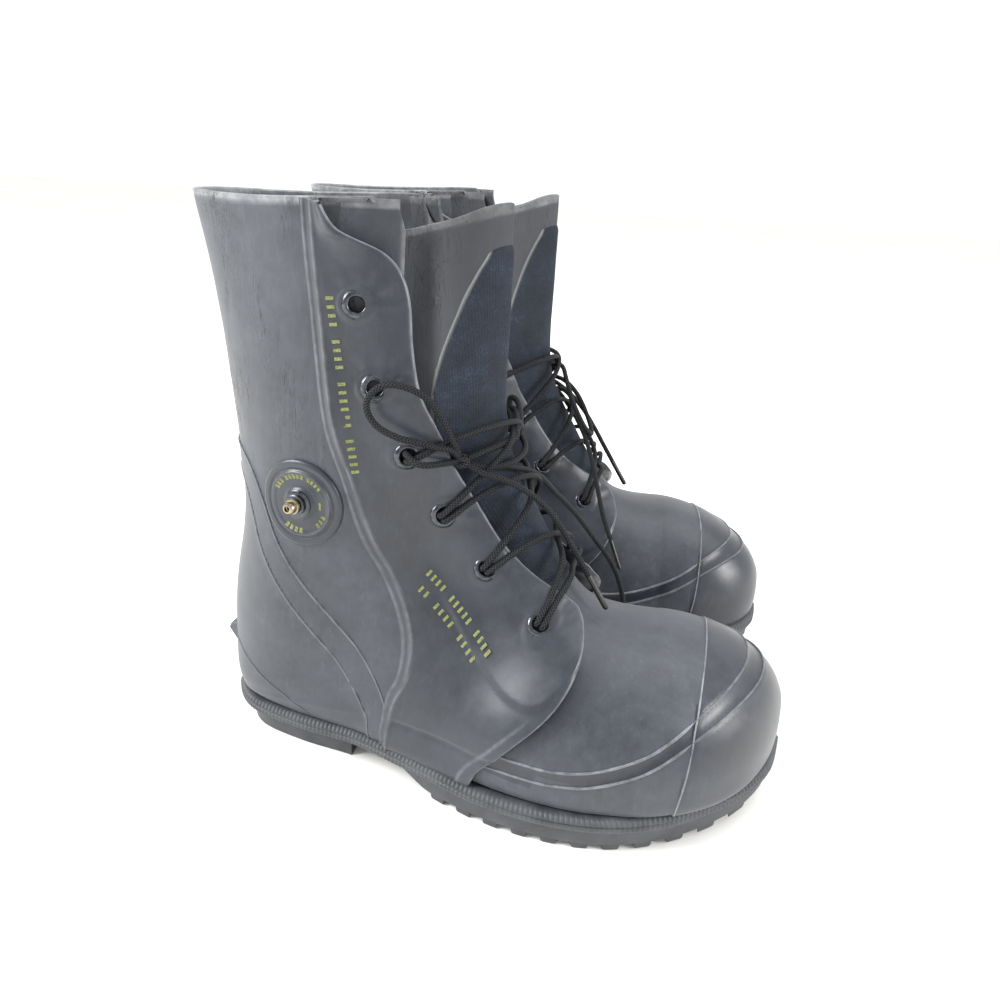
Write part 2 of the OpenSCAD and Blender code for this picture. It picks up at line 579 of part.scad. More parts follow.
module knot() hull() for (v = [[0, 0, 3], [2, 1, -2], [-2, -1, -2]])
    translate(KNOT + v) rotate([20, 35, 10]) sphere(r = lace_d * 1.15, $fn = 8);
module lace_strands() {
    cord(strand(5, 1, -1, 5, -1, -1, 0));
    for (k = [5 : -1 : 3]) {
        cord(strand(k, 1, 1, k - 1, -1, -1, 0));
        cord(strand(k, -1, 1, k - 1, 1, -1, lace_d + 0.4));
    }
    for (m = [1, -1]) cord(knot_strand(m));
}
module lace() color("#26282b") mesh() difference() {
    lace_strands();
    knot();
}
module lace_bow(outer_loop, inner_loop, inner_tail, outer_tail) color("#26282b") mesh() difference() {
    union() {
        knot();
        cord(outer_loop);
        cord(inner_loop);
        cord(inner_tail);
        cord(outer_tail);
    }
    difference() {
        lace_strands();
        knot();
    }
}
module right_bow() { lace_bow(OUTER_LOOP, INNER_LOOP, INNER_TAIL, OUTER_TAIL); }
module left_bow() { lace_bow(LEFT_OUTER_LOOP, LEFT_INNER_LOOP, LEFT_INNER_TAIL, OUTER_TAIL); }
module lace_tip(path) {
    last = len(path) - 1;
    t = unit(path[last] - path[last - 1]);
    translate(path[last]) rotate([0, acos(t[2]), atan2(t[1], t[0])])
        cylinder(d = lace_d + 0.2, h = TAIL_END, $fn = 24);
}
module lace_tips(inner_tail, outer_tail) color("#1a1b1d") {
    lace_tip(inner_tail);
    lace_tip(outer_tail);
}

right_side() vamp();  // right_vamp
right_side() toe_cap();  // right_toe_cap
right_side() ridge_band();  // right_ridge_band
right_side() foxing();  // right_foxing
right_side() outer_facing();  // right_outer_facing
right_side() inner_facing();  // right_inner_facing
right_side() outer_quarter();  // right_outer_quarter
right_side() inner_quarter();  // right_inner_quarter
right_side() counter_stay();  // right_counter_stay
right_side() heel_counter();  // right_heel_counter
right_side() gusset();  // right_gusset
right_side() gusset_patch();  // right_gusset_patch
right_side() heel_ledge();  // right_heel_ledge
right_side() welt();  // right_welt
right_side() outsole();  // right_outsole
right_side() heel_block();  // right_heel_block
right_side() felt();  // right_felt
right_side() lining();  // right_lining
right_side() insole();  // right_insole
right_side() shank();  // right_shank
right_side() outer_eyelets();  // right_outer_eyelets
right_side() inner_eyelets();  // right_inner_eyelets
right_side() eyelet_backs();  // right_eyelet_backs
right_side() valve_disc();  // right_valve_disc
right_side() valve_body();  // right_valve_body
right_side() valve_stem();  // right_valve_stem
right_side() lace();  // right_lace
right_side() right_bow();  // right_lace_bow
right_side() lace_tips(INNER_TAIL, OUTER_TAIL);  // right_lace_tips
left_side() vamp();  // left_vamp
left_side() toe_cap();  // left_toe_cap
left_side() ridge_band();  // left_ridge_band
left_side() foxing();  // left_foxing
left_side() outer_facing();  // left_outer_facing
left_side() inner_facing();  // left_inner_facing
left_side() outer_quarter();  // left_outer_quarter
left_side() inner_quarter();  // left_inner_quarter
left_side() counter_stay();  // left_counter_stay
left_side() heel_counter();  // left_heel_counter
left_side() gusset();  // left_gusset
left_side() gusset_patch();  // left_gusset_patch
left_side() heel_ledge();  // left_heel_ledge
left_side() welt();  // left_welt
left_side() outsole();  // left_outsole
left_side() heel_block();  // left_heel_block
left_side() felt();  // left_felt
left_side() lining();  // left_lining
left_side() insole();  // left_insole
left_side() shank();  // left_shank
left_side() outer_eyelets();  // left_outer_eyelets
left_side() inner_eyelets();  // left_inner_eyelets
left_side() eyelet_backs();  // left_eyelet_backs
left_side() valve_disc();  // left_valve_disc
left_side() valve_body();  // left_valve_body
left_side() valve_stem();  // left_valve_stem
left_side() lace();  // left_lace
left_side() left_bow();  // left_lace_bow
left_side() lace_tips(LEFT_INNER_TAIL, OUTER_TAIL);  // left_lace_tips
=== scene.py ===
import math
import bpy
import numpy as np
from mathutils import Matrix, Vector, kdtree, noise


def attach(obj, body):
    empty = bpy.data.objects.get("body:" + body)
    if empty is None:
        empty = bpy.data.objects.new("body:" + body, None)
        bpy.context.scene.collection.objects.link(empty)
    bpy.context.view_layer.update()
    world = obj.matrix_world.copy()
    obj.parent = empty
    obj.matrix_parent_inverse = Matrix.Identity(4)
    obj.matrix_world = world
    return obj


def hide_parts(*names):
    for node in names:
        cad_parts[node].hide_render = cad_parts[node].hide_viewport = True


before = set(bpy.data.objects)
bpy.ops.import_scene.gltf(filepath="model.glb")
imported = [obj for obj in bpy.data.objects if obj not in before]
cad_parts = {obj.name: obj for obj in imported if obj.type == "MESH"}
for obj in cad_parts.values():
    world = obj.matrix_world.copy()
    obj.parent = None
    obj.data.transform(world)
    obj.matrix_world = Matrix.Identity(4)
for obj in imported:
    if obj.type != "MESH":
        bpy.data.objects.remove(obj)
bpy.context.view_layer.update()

# All boot shapes are drawn in millimetres in the boot's own frame (heel at 0, toe along +X,
# outer side along -Y) and moved to the shared frame at the end.
boot = {
    "length": 305, "height": 285, "ballWidth": 120, "shaftDepth": 154, "shaftWidth": 78,
    "rubber": 2.4, "felt": 6, "lining": 1.6, "collar": 26, "soleTop": 18, "heel": 13,
    "heelLength": 84, "heelInset": 4.5, "lug": 4, "toeSpring": 7,
    "facingWall": 2.4, "facingLift": 7, "patchWall": 1.2, "lace": 3.0,
    "eyeletBore": 6.6, "eyeletFlange": 13,
    "middle": (150.5, 81.5), "pairStep": (145, 155), "pairTurn": 8, "turnAbout": 150,
}
# the sizes that the sections and lines below are drawn at
drawn = {"length": 308, "ballWidth": 120, "shaftDepth": 154, "shaftWidth": 78, "soleTop": 18,
         "shaftHeight": 267}
lengthScale = boot["length"] / drawn["length"]
widthScale = boot["ballWidth"] / drawn["ballWidth"]
mm = 0.001


def clamp01(v):
    return np.clip(v, 0, 1)


def mix(a, b, f):
    return a + (b - a) * f


def smooth(v):
    c = clamp01(v)
    return c * c * (3 - 2 * c)


def spline(rows, u):
    rows = np.asarray(rows, float)
    u = np.atleast_1d(np.asarray(u, float))
    last = len(rows) - 1
    i = np.clip(np.floor(u), 0, last - 1).astype(int)
    f = (u - i)[:, None]
    a, b = rows[np.maximum(i - 1, 0)], rows[i]
    c, d = rows[i + 1], rows[np.minimum(i + 2, last)]
    return b + 0.5 * f * ((c - a) + f * ((2 * a - 5 * b + 4 * c - d) + f * (3 * (b - c) + d - a)))


# one ring to a row: x and z of its sole end, x and z of its top end, outer and inner half width,
# how far up it is widest, and how square it is below and above that
sections = np.array([
    [236, 18, 238, 91, 68, 52, 0.28, 8, 2.1], [212, 18, 220, 92, 71, 52, 0.26, 8, 2.0],
    [186, 18, 207, 96, 70, 49, 0.25, 8, 1.9], [156, 18, 198, 104, 64, 44, 0.25, 8, 1.8],
    [122, 18, 187, 118, 54, 41, 0.27, 8, 1.75], [84, 18, 177, 133, 45, 39, 0.32, 7.5, 1.7],
    [44, 18, 168, 148, 41, 39, 0.40, 6, 1.65], [11, 24, 160, 162, 41, 40, 0.45, 3.2, 1.6],
    [5, 52, 154, 175, 42, 41, 0.48, 2.4, 1.55], [7, 88, 151, 190, 43, 42, 0.49, 2.1, 1.5],
    [13, 124, 150, 205, 43, 42, 0.50, 2.0, 1.45], [13, 160, 150, 222, 43, 42, 0.50, 2.0, 1.4],
    [9, 200, 150, 241, 41, 41, 0.50, 2.0, 1.35], [4, 240, 150, 262, 40, 40, 0.50, 2.0, 1.3],
    [-4, 285, 150, 287, 39, 39, 0.50, 2.0, 1.25]])
topU = 14.0  # the ring at the rim
# the sole's outline from heel to toe, as x and y
outerPlan = [[7, 0], [11, -15], [25, -29], [54, -37], [90, -42], [126, -54], [160, -66], [190, -71],
             [220, -70], [246, -62], [270, -48], [290, -30], [303, -10], [308, 12]]
innerPlan = [[7, 0], [11, 15], [25, 28], [54, 35], [90, 38], [126, 41], [160, 45], [190, 50],
             [220, 54], [246, 55], [270, 52], [290, 44], [303, 30], [308, 12]]
# seams and edges in side view, as x and z: the toe cap's rear edge, the upper moulded ridge, the facing's
# front edge, seam and back edge, both edges of the counter stay, the gusset's foot and the cloth patch's edge
capLine = [[254, -20], [257, 20], [260, 45], [262, 70], [266, 130]]
ridgeLine = [[110, 40], [175, 42], [200, 43], [220, 47], [240, 55], [255, 64], [268, 72], [290, 79],
             [340, 84]]
frontLine = [[150, -20], [160, 25], [170, 40], [181, 54], [197, 70], [204, 83], [200, 94], [190, 103],
             [170, 116], [153, 131], [140, 149], [130, 167], [123, 186], [116, 204], [112, 226], [110, 247],
             [105, 262], [96, 271], [84, 277], [72, 300]]
seatLine = [[120, -20], [126, 25], [134, 40], [142, 54], [148, 68], [151, 84], [150, 96], [138, 107],
            [127, 119], [116, 133], [106, 148], [96, 170], [89, 190], [83, 210], [78, 230], [75, 250],
            [72, 300]]
backLine = [[102, -20], [106, 41], [113, 62], [114, 79], [110, 95], [102, 114], [92, 134], [84, 161],
            [75, 191], [70, 231], [67, 269], [66, 300]]
stayTop = [[-30, 172], [8, 168], [30, 158], [46, 128], [60, 107], [75, 89], [91, 71], [107, 46], [110, 30],
           [112, -20]]
stayLow = [[-30, 160], [8, 156], [24, 146], [36, 120], [50, 97], [65, 78], [80, 61], [95, 38], [98, 28],
           [99, -20]]
throatLine = [[60, 62], [150, 84], [172, 90], [190, 93], [205, 98], [215, 130]]
patchLine = [[203, 100], [180, 104], [158, 120], [142, 138], [131, 158], [124, 180], [121, 199],
             [124, 221], [130, 245], [137, 262], [144, 270], [170, 278]]
eyelets = [[91, 244], [99, 208], [112, 176], [128, 145], [151, 119], [181, 96]]
valveAt = (63, 148)
ridgeGap = 8  # from the upper ridge down to the lower one


def placed(x, z):
    # a drawn side view point at the boot's own size
    x, z = np.asarray(x, float), np.asarray(z, float)
    low, depthScale = drawn["soleTop"], boot["shaftDepth"] / drawn["shaftDepth"]
    upScale = (boot["height"] - boot["soleTop"]) / drawn["shaftHeight"]
    up = np.where(z < low, z * boot["soleTop"] / low, boot["soleTop"] + (z - low) * upScale)
    return x * mix(lengthScale, depthScale, smooth((z - 100) / 100)), up


def placedLine(rows):
    rows = np.asarray(rows, float)
    x, z = placed(rows[:, 0], rows[:, 1])
    return np.stack([x, z], 1)


easedLines = {}


def easedLine(rows, axis):
    # the drawn line with its corners eased, in order along one axis
    key = (id(rows), axis)
    if key not in easedLines:
        p = placedLine(rows)
        p = spline(p, np.linspace(0, len(p) - 1, len(p) * 8))
        easedLines[key] = p[np.argsort(p[:, axis], kind="stable")]
    return easedLines[key]


def lineX(rows, z):
    p = easedLine(rows, 1)
    return np.interp(z, p[:, 1], p[:, 0])


def lineZ(rows, x):
    p = easedLine(rows, 0)
    return np.interp(x, p[:, 0], p[:, 1])


def spring(x):
    # how far the toe lifts off the floor
    return boot["toeSpring"] * clamp01((x / lengthScale - 225) / 83) ** 2


def shaftRing(u, d):
    # ring u of the foot and shaft, drawn in by a depth d
    s = spline(sections, u)
    bx, bz = placed(s[:, 0], s[:, 1])
    tx, tz = placed(s[:, 2], s[:, 3])
    ln = np.hypot(tx - bx, tz - bz)
    vx, vz = (tx - bx) / ln, (tz - bz) / ln
    k = mix(widthScale, boot["shaftWidth"] / drawn["shaftWidth"], smooth((u - 4) / 5))
    return [bx + vx * d, bz + vz * d, tx - vx * d, tz - vz * d, s[:, 4] * k - d, s[:, 5] * k - d,
            s[:, 6], s[:, 7], s[:, 8], 0 * u]


def ringAt(u, d):
    # the same, with the toe closed as a rounded end for u below 0
    u = np.asarray(u, float)
    d = np.zeros_like(u) + d
    ring = shaftRing(np.maximum(u, 0), d)
    flat = shaftRing(np.zeros_like(u), d * 0)
    q = np.sin(np.radians(np.clip(-u, 0, 1) * 90))
    toeStart = placed(236, 18)[0]
    reach = boot["length"] - toeStart - d
    middle = boot["soleTop"] + 22
    up = (1 - q ** 1.8) ** (1 / 1.8)
    low = (1 - q ** 5) ** 0.2
    wide = np.sqrt(np.maximum(0, 1 - q ** 2))
    lift = spring(toeStart + reach * q)
    toe = [toeStart + reach * q, mix(middle, flat[1] + d, low) + lift,
           toeStart + 2 + (reach - 2) * q, mix(middle, flat[3] - d, up) + lift,
           (flat[4] - d) * wide, (flat[5] - d) * wide, flat[6], flat[7], flat[8], 13 * q]
    return [np.where(u < 0, t, r) for t, r in zip(toe, ring)]


def skinPoint(u, a, d=0.0):
    # u runs from the toe (-1) over the foot and up to the rim (14); a turns round from the sole
    u, a = np.broadcast_arrays(np.asarray(u, float), np.asarray(a, float))
    shape = u.shape
    u, a = u.ravel(), a.ravel()
    d = np.broadcast_to(np.asarray(d, float), shape).ravel() if np.ndim(d) else d
    r = ringAt(u, d)
    c0, s0 = np.cos(np.radians(a)), np.sin(np.radians(a))
    low = c0 > 0
    e = 2 / np.where(low, r[7], r[8])
    c, w = np.abs(c0) ** e, np.abs(s0) ** e
    k = np.where(low, r[6] * (1 - c), r[6] + (1 - r[6]) * c)
    x, z = mix(r[0], r[2], k), mix(r[1], r[3], k)
    y = r[9] + np.where(s0 > 0, -r[4], r[5]) * w
    return np.stack([x, y, z], -1).reshape(shape + (3,))


def turnOf(x, z):
    # the ring and turn through a side view point, on the outer side
    x, z = np.atleast_1d(np.asarray(x, float)), np.atleast_1d(np.asarray(z, float))
    us = np.linspace(0, topU, 500)
    r = shaftRing(us, 0)
    vx, vz = r[2] - r[0], r[3] - r[1]
    u = np.full(x.shape, topU)
    for k in range(len(x)):
        side = vx * (z[k] - r[1]) - vz * (x[k] - r[0])
        hit = np.nonzero(side[:-1] * side[1:] <= 0)[0]
        if len(hit):
            i = hit[0]
            u[k] = mix(us[i], us[i + 1], side[i] / (side[i] - side[i + 1]))
    r = shaftRing(u, 0)
    vx, vz = r[2] - r[0], r[3] - r[1]
    s = clamp01(((x - r[0]) * vx + (z - r[1]) * vz) / (vx * vx + vz * vz))
    low = s < r[6]
    c = np.where(low, 1 - s / r[6], (s - r[6]) / (1 - r[6]))
    t = np.degrees(np.arccos(clamp01(c) ** (np.where(low, r[7], r[8]) / 2)))
    return u, np.where(low, t, 180 - t)


def sidePoint(x, z, side, h=0.0):
    # the point on the outer (1) or inner (-1) side, raised by h
    u, a = turnOf(x, z)
    return skinPoint(u, a if side > 0 else 360 - a, -np.asarray(h, float) * np.ones_like(u))


def sideNormal(x, z, side):
    a = sidePoint(x + 5, z, side) - sidePoint(x - 5, z, side)
    b = sidePoint(x, z + 5, side) - sidePoint(x, z - 5, side)
    c = np.cross(a, b) * side
    return c / np.linalg.norm(c, axis=-1, keepdims=True)


def lift(x, z):
    # how far the facing stands off the boot: nothing at its seam, most at its front edge
    x0, x1 = lineX(seatLine, z), lineX(frontLine, z)
    ahead = smooth(1.15 * (x - x0) / np.maximum(4, x1 - x0))
    return boot["facingLift"] * ahead * smooth((z - boot["soleTop"] - 12) / 40)


def fbm(points, size, seed):
    # soft uneven height over points in millimetres
    flat = points.reshape(-1, 3) / size + seed
    return np.array([noise.noise(Vector(p)) for p in flat.tolist()]).reshape(points.shape[:-1])


def bootMatrix(name):
    # where a boot stands in the pair; the left boot is the right one mirrored and turned a little
    mx, my = boot["middle"]
    if name == "right":
        return Matrix.Translation((-mx * mm, -my * mm, 0))
    sx, sy = boot["pairStep"]
    step = Matrix.Translation(((sx - mx) * mm, (sy - my) * mm, 0))
    turn = Matrix.Rotation(math.radians(boot["pairTurn"]), 4, "Z")
    mirror = Matrix.Diagonal((1, -1, 1, 1))
    return step @ turn @ mirror @ Matrix.Translation((-boot["turnAbout"] * mm, 0, 0))


view = {"place": (0.0799, -0.4654, 0.3037), "azimuth": 11.7, "elevation": 21.93, "roll": 3.27, "lens": 30.11}


def addCamera():
    a, e, r = (math.radians(view[k]) for k in ("azimuth", "elevation", "roll"))
    back = Vector((math.sin(a) * math.cos(e), -math.cos(a) * math.cos(e), math.sin(e)))
    right = Vector((math.cos(a), math.sin(a), 0))
    up = back.cross(right)
    across = right * math.cos(r) + up * math.sin(r)
    upright = -right * math.sin(r) + up * math.cos(r)
    data = bpy.data.cameras.new("bootCamera")
    data.lens, data.sensor_width = view["lens"], 36
    data.clip_start, data.clip_end = 0.02, 50
    camera = bpy.data.objects.new("bootCamera", data)
    bpy.context.scene.collection.objects.link(camera)
    turn = Matrix((across, upright, back)).transposed().to_4x4()
    camera.matrix_world = Matrix.Translation(view["place"]) @ turn
    bpy.context.scene.camera = camera


addCamera()
print("camera placed")


def deselectAll():
    if bpy.context.object and bpy.context.object.mode != "OBJECT":
        bpy.ops.object.mode_set(mode="OBJECT")
    bpy.ops.object.select_all(action="DESELECT")


def choose(piece):
    deselectAll()
    piece.select_set(True)
    bpy.context.view_layer.objects.active = piece


def gridPiece(name, points):
    # a grid whose vertices are moved to the given places, in millimetres
    rows, cols = points.shape[:2]
    deselectAll()
    bpy.ops.mesh.primitive_grid_add(x_subdivisions=cols - 1, y_subdivisions=rows - 1, size=1)
    piece = bpy.context.object
    piece.name = piece.data.name = name
    piece.data.vertices.foreach_set("co", (points * mm).astype(np.float32).ravel())
    piece.data.update()
    return piece


def editAll(piece, *steps):
    choose(piece)
    bpy.ops.object.mode_set(mode="EDIT")
    bpy.ops.mesh.select_mode(type="VERT")
    bpy.ops.mesh.select_all(action="SELECT")
    for step in steps:
        step()
    bpy.ops.object.mode_set(mode="OBJECT")


def faceOut():
    bpy.ops.mesh.normals_make_consistent(inside=False)


def mergeDoubles(piece):
    editAll(piece, lambda: bpy.ops.mesh.remove_doubles(threshold=2e-6), faceOut)


def outwards(piece, middle):
    # turns an open sheet so that its faces look away from the middle, in millimetres
    mesh = piece.data
    n = len(mesh.polygons)
    normal, centre, area = np.empty(n * 3), np.empty(n * 3), np.empty(n)
    mesh.polygons.foreach_get("normal", normal)
    mesh.polygons.foreach_get("center", centre)
    mesh.polygons.foreach_get("area", area)
    centre = centre.reshape(-1, 3)
    away = centre - np.asarray(middle) * mm
    if (np.einsum("ij,ij->i", normal.reshape(-1, 3), away) * area).sum() < 0:
        editAll(piece, lambda: bpy.ops.mesh.flip_normals())


def thicken(piece, wall):
    # gives a sheet its thickness on the inner side
    choose(piece)
    m = piece.modifiers.new("wall", "SOLIDIFY")
    m.thickness, m.offset, m.use_even_offset = wall * mm, -1, False
    bpy.ops.object.modifier_apply(modifier=m.name)


def bevelEdges(piece, width, segments=2, angle=35):
    choose(piece)
    m = piece.modifiers.new("edge", "BEVEL")
    m.width, m.segments, m.limit_method, m.angle_limit = width * mm, segments, "ANGLE", math.radians(angle)
    bpy.ops.object.modifier_apply(modifier=m.name)


def smoothFaces(piece, angle=38):
    choose(piece)
    bpy.ops.object.shade_smooth_by_angle(angle=math.radians(angle))


def joined(name, pieces):
    deselectAll()
    for p in pieces:
        p.select_set(True)
    bpy.context.view_layer.objects.active = pieces[0]
    if len(pieces) > 1:
        bpy.ops.object.join()
    pieces[0].name = pieces[0].data.name = name
    return pieces[0]


def copied(piece, name):
    new = piece.copy()
    new.data = piece.data.copy()
    new.name = new.data.name = name
    bpy.context.scene.collection.objects.link(new)
    return new


def drop(piece):
    bpy.data.objects.remove(piece, do_unlink=True)


def cutAway(piece, tool):
    choose(piece)
    m = piece.modifiers.new("cut", "BOOLEAN")
    m.operation, m.object, m.solver = "DIFFERENCE", tool, "EXACT"
    bpy.ops.object.modifier_apply(modifier=m.name)
    drop(tool)


def extruded(outline, shift):
    # a flat outline pulled along a straight way, both in millimetres
    deselectAll()
    bpy.ops.mesh.primitive_circle_add(vertices=len(outline), fill_type="NGON")
    piece = bpy.context.object
    for v, p in zip(piece.data.vertices, outline):
        v.co = [c * mm for c in p]
    pull = {"value": [c * mm for c in shift]}
    editAll(piece, lambda: bpy.ops.mesh.extrude_region_move(TRANSFORM_OT_translate=pull),
            lambda: bpy.ops.mesh.select_all(action="SELECT"), faceOut)
    return piece


def prism(points, y0, y1):
    # a side view outline through the boot
    return extruded([(x, y0, z) for x, z in points], (0, y1 - y0, 0))


def setPointValue(piece, name, values):
    layer = piece.data.attributes.get(name) or piece.data.attributes.new(name, "FLOAT", "POINT")
    layer.data.foreach_set("value", np.asarray(values, np.float32))


def tint(piece, wear, dark=0, crack=0):
    # the values that the rubber's finish reads: pale edges from wear and a painted highlight, dark bloom and
    # weather cracks
    for name, value in (("wear", wear), ("dark", dark), ("crack", crack)):
        setPointValue(piece, name, np.zeros(len(piece.data.vertices)) + value)


def tintsOf(piece):
    values = {}
    for name in ("wear", "dark", "crack"):
        values[name] = np.zeros(len(piece.data.vertices), np.float32)
        piece.data.attributes[name].data.foreach_get("value", values[name])
    return values


def keepValues(piece, points, values):
    # each vertex takes the value of the nearest point of the sheet it was cut from
    tree = kdtree.KDTree(len(points))
    for k, q in enumerate(points):
        tree.insert(q, k)
    tree.balance()
    nearest = [tree.find(q)[1] for q in pointsOf(piece)]
    for name, v in values.items():
        setPointValue(piece, name, v[nearest])


def pointsOf(piece):
    co = np.empty(len(piece.data.vertices) * 3)
    piece.data.vertices.foreach_get("co", co)
    return co.reshape(-1, 3) / mm


def lathe(name, profile, segments=40):
    # profile of (radius, height) turned about +Z, in millimetres
    turn = np.radians(np.linspace(0, 360, segments + 1))
    rows = np.array([[[r * math.cos(t), r * math.sin(t), h] for t in turn] for r, h in profile])
    piece = gridPiece(name, rows)
    mergeDoubles(piece)
    return piece


def standOn(piece, place, normal):
    # moves a piece drawn on +Z to stand on the boot's side
    lean = Vector((0, 0, 1)).rotation_difference(Vector(normal)).to_matrix().to_4x4()
    piece.data.transform(Matrix.Translation(Vector(place) * mm) @ lean)
    return piece


def runOf(path):
    # how far along the path each of its points lies
    return np.concatenate([[0], np.cumsum(np.linalg.norm(np.diff(path, axis=0), axis=1))])


def tube(name, path, radius, sides=12, caps=True):
    # a round cord along points in millimetres, with its own length as V
    path = np.asarray(path, float)
    tangent = np.gradient(path, axis=0)
    tangent /= np.linalg.norm(tangent, axis=1, keepdims=True)
    normal = np.cross(tangent[0], [0, 0, 1.0] if abs(tangent[0][2]) < 0.9 else [1.0, 0, 0])
    rings = []
    radius = np.broadcast_to(np.asarray(radius, float), len(path))
    for p, t, r in zip(path, tangent, radius):
        normal = normal - t * (normal @ t)
        normal /= np.linalg.norm(normal)
        other = np.cross(t, normal)
        angle = np.radians(np.linspace(0, 360, sides + 1))
        rings.append(p + r * (np.outer(np.cos(angle), normal) + np.outer(np.sin(angle), other)))
    rings = np.array(rings)
    length = runOf(path)
    if caps:
        first, last = (np.broadcast_to(path[k], rings[:1].shape) for k in (0, -1))
        rings = np.concatenate([first, rings, last])
        length = np.concatenate([[0], length, [length[-1]]])
    piece = gridPiece(name, rings)
    layer = piece.data.uv_layers[0]
    uv = np.empty(len(layer.data) * 2)
    index = np.empty(len(piece.data.loops), int)
    layer.data.foreach_get("uv", uv)
    piece.data.loops.foreach_get("vertex_index", index)
    uv = uv.reshape(-1, 2)
    uv[:, 1] = length[index // rings.shape[1]]
    layer.data.foreach_set("uv", uv.ravel())
    mergeDoubles(piece)
    smoothFaces(piece, 60)
    return piece


def smoothPath(points, steps=10):
    points = np.asarray(points, float)
    return spline(points, np.linspace(0, len(points) - 1, (len(points) - 1) * steps + 1))


made = {}  # pieces of the right boot, drawn in the boot's own frame


def linear(hexColour):
    c = [int(hexColour[i:i + 2], 16) / 255 for i in (1, 3, 5)]
    return [v / 12.92 if v <= 0.04045 else ((v + 0.055) / 1.055) ** 2.4 for v in c] + [1]


def newMaterial(name):
    material = bpy.data.materials.new(name)
    material.use_nodes = True
    material.node_tree.nodes.clear()
    return material.node_tree


def addNode(tree, kind, settings=None, **links):
    # settings fill attributes or sockets; links join other nodes' outputs to this node's sockets
    node = tree.nodes.new("ShaderNode" + kind)
    for key, value in (settings or {}).items():
        if key in node.inputs.keys():
            node.inputs[key].default_value = value
        elif key.isdigit():
            node.inputs[int(key)].default_value = value
        else:
            setattr(node, key, value)
    for key, source in links.items():
        key = key.replace("_", " ")
        socket = node.inputs[int(key[1:])] if key[0] == "n" and key[1:].isdigit() else node.inputs[key]
        tree.links.new(socket, source if isinstance(source, bpy.types.NodeSocket) else source.outputs[0])
    return node


def ramp(tree, source, stops):
    node = addNode(tree, "ValToRGB", {}, Fac=source)
    for k in (0, -1):
        element = node.color_ramp.elements[k]
        element.position, element.color = stops[k][0], linear(stops[k][1])
    for place, colour in stops[1:-1]:
        node.color_ramp.elements.new(place).color = linear(colour)
    return node


def shader(tree, settings, **links):
    node = addNode(tree, "BsdfPrincipled", settings, **links)
    out = tree.nodes.new("ShaderNodeOutputMaterial")
    tree.links.new(out.inputs["Surface"], node.outputs[0])


# edge is the pale colour laid on ridges, edges and the rim: partly wear, partly a painted highlight
bodyLook = {"name": "vulcanisedRubber", "deep": "#20242B", "main": "#31363E", "pale": "#42474E",
            "dusty": "#54575B", "edge": "#85878A", "shade": "#1B1C1F", "smooth": 0.40, "dull": 0.58,
            "dust": 0.5}
glossLook = {"name": "polishedRubber", "deep": "#14181F", "main": "#20252E", "pale": "#2E343D",
             "dusty": "#4A4E54", "edge": "#80838A", "shade": "#45433D", "smooth": 0.28, "dull": 0.46,
             "dust": 0.3}


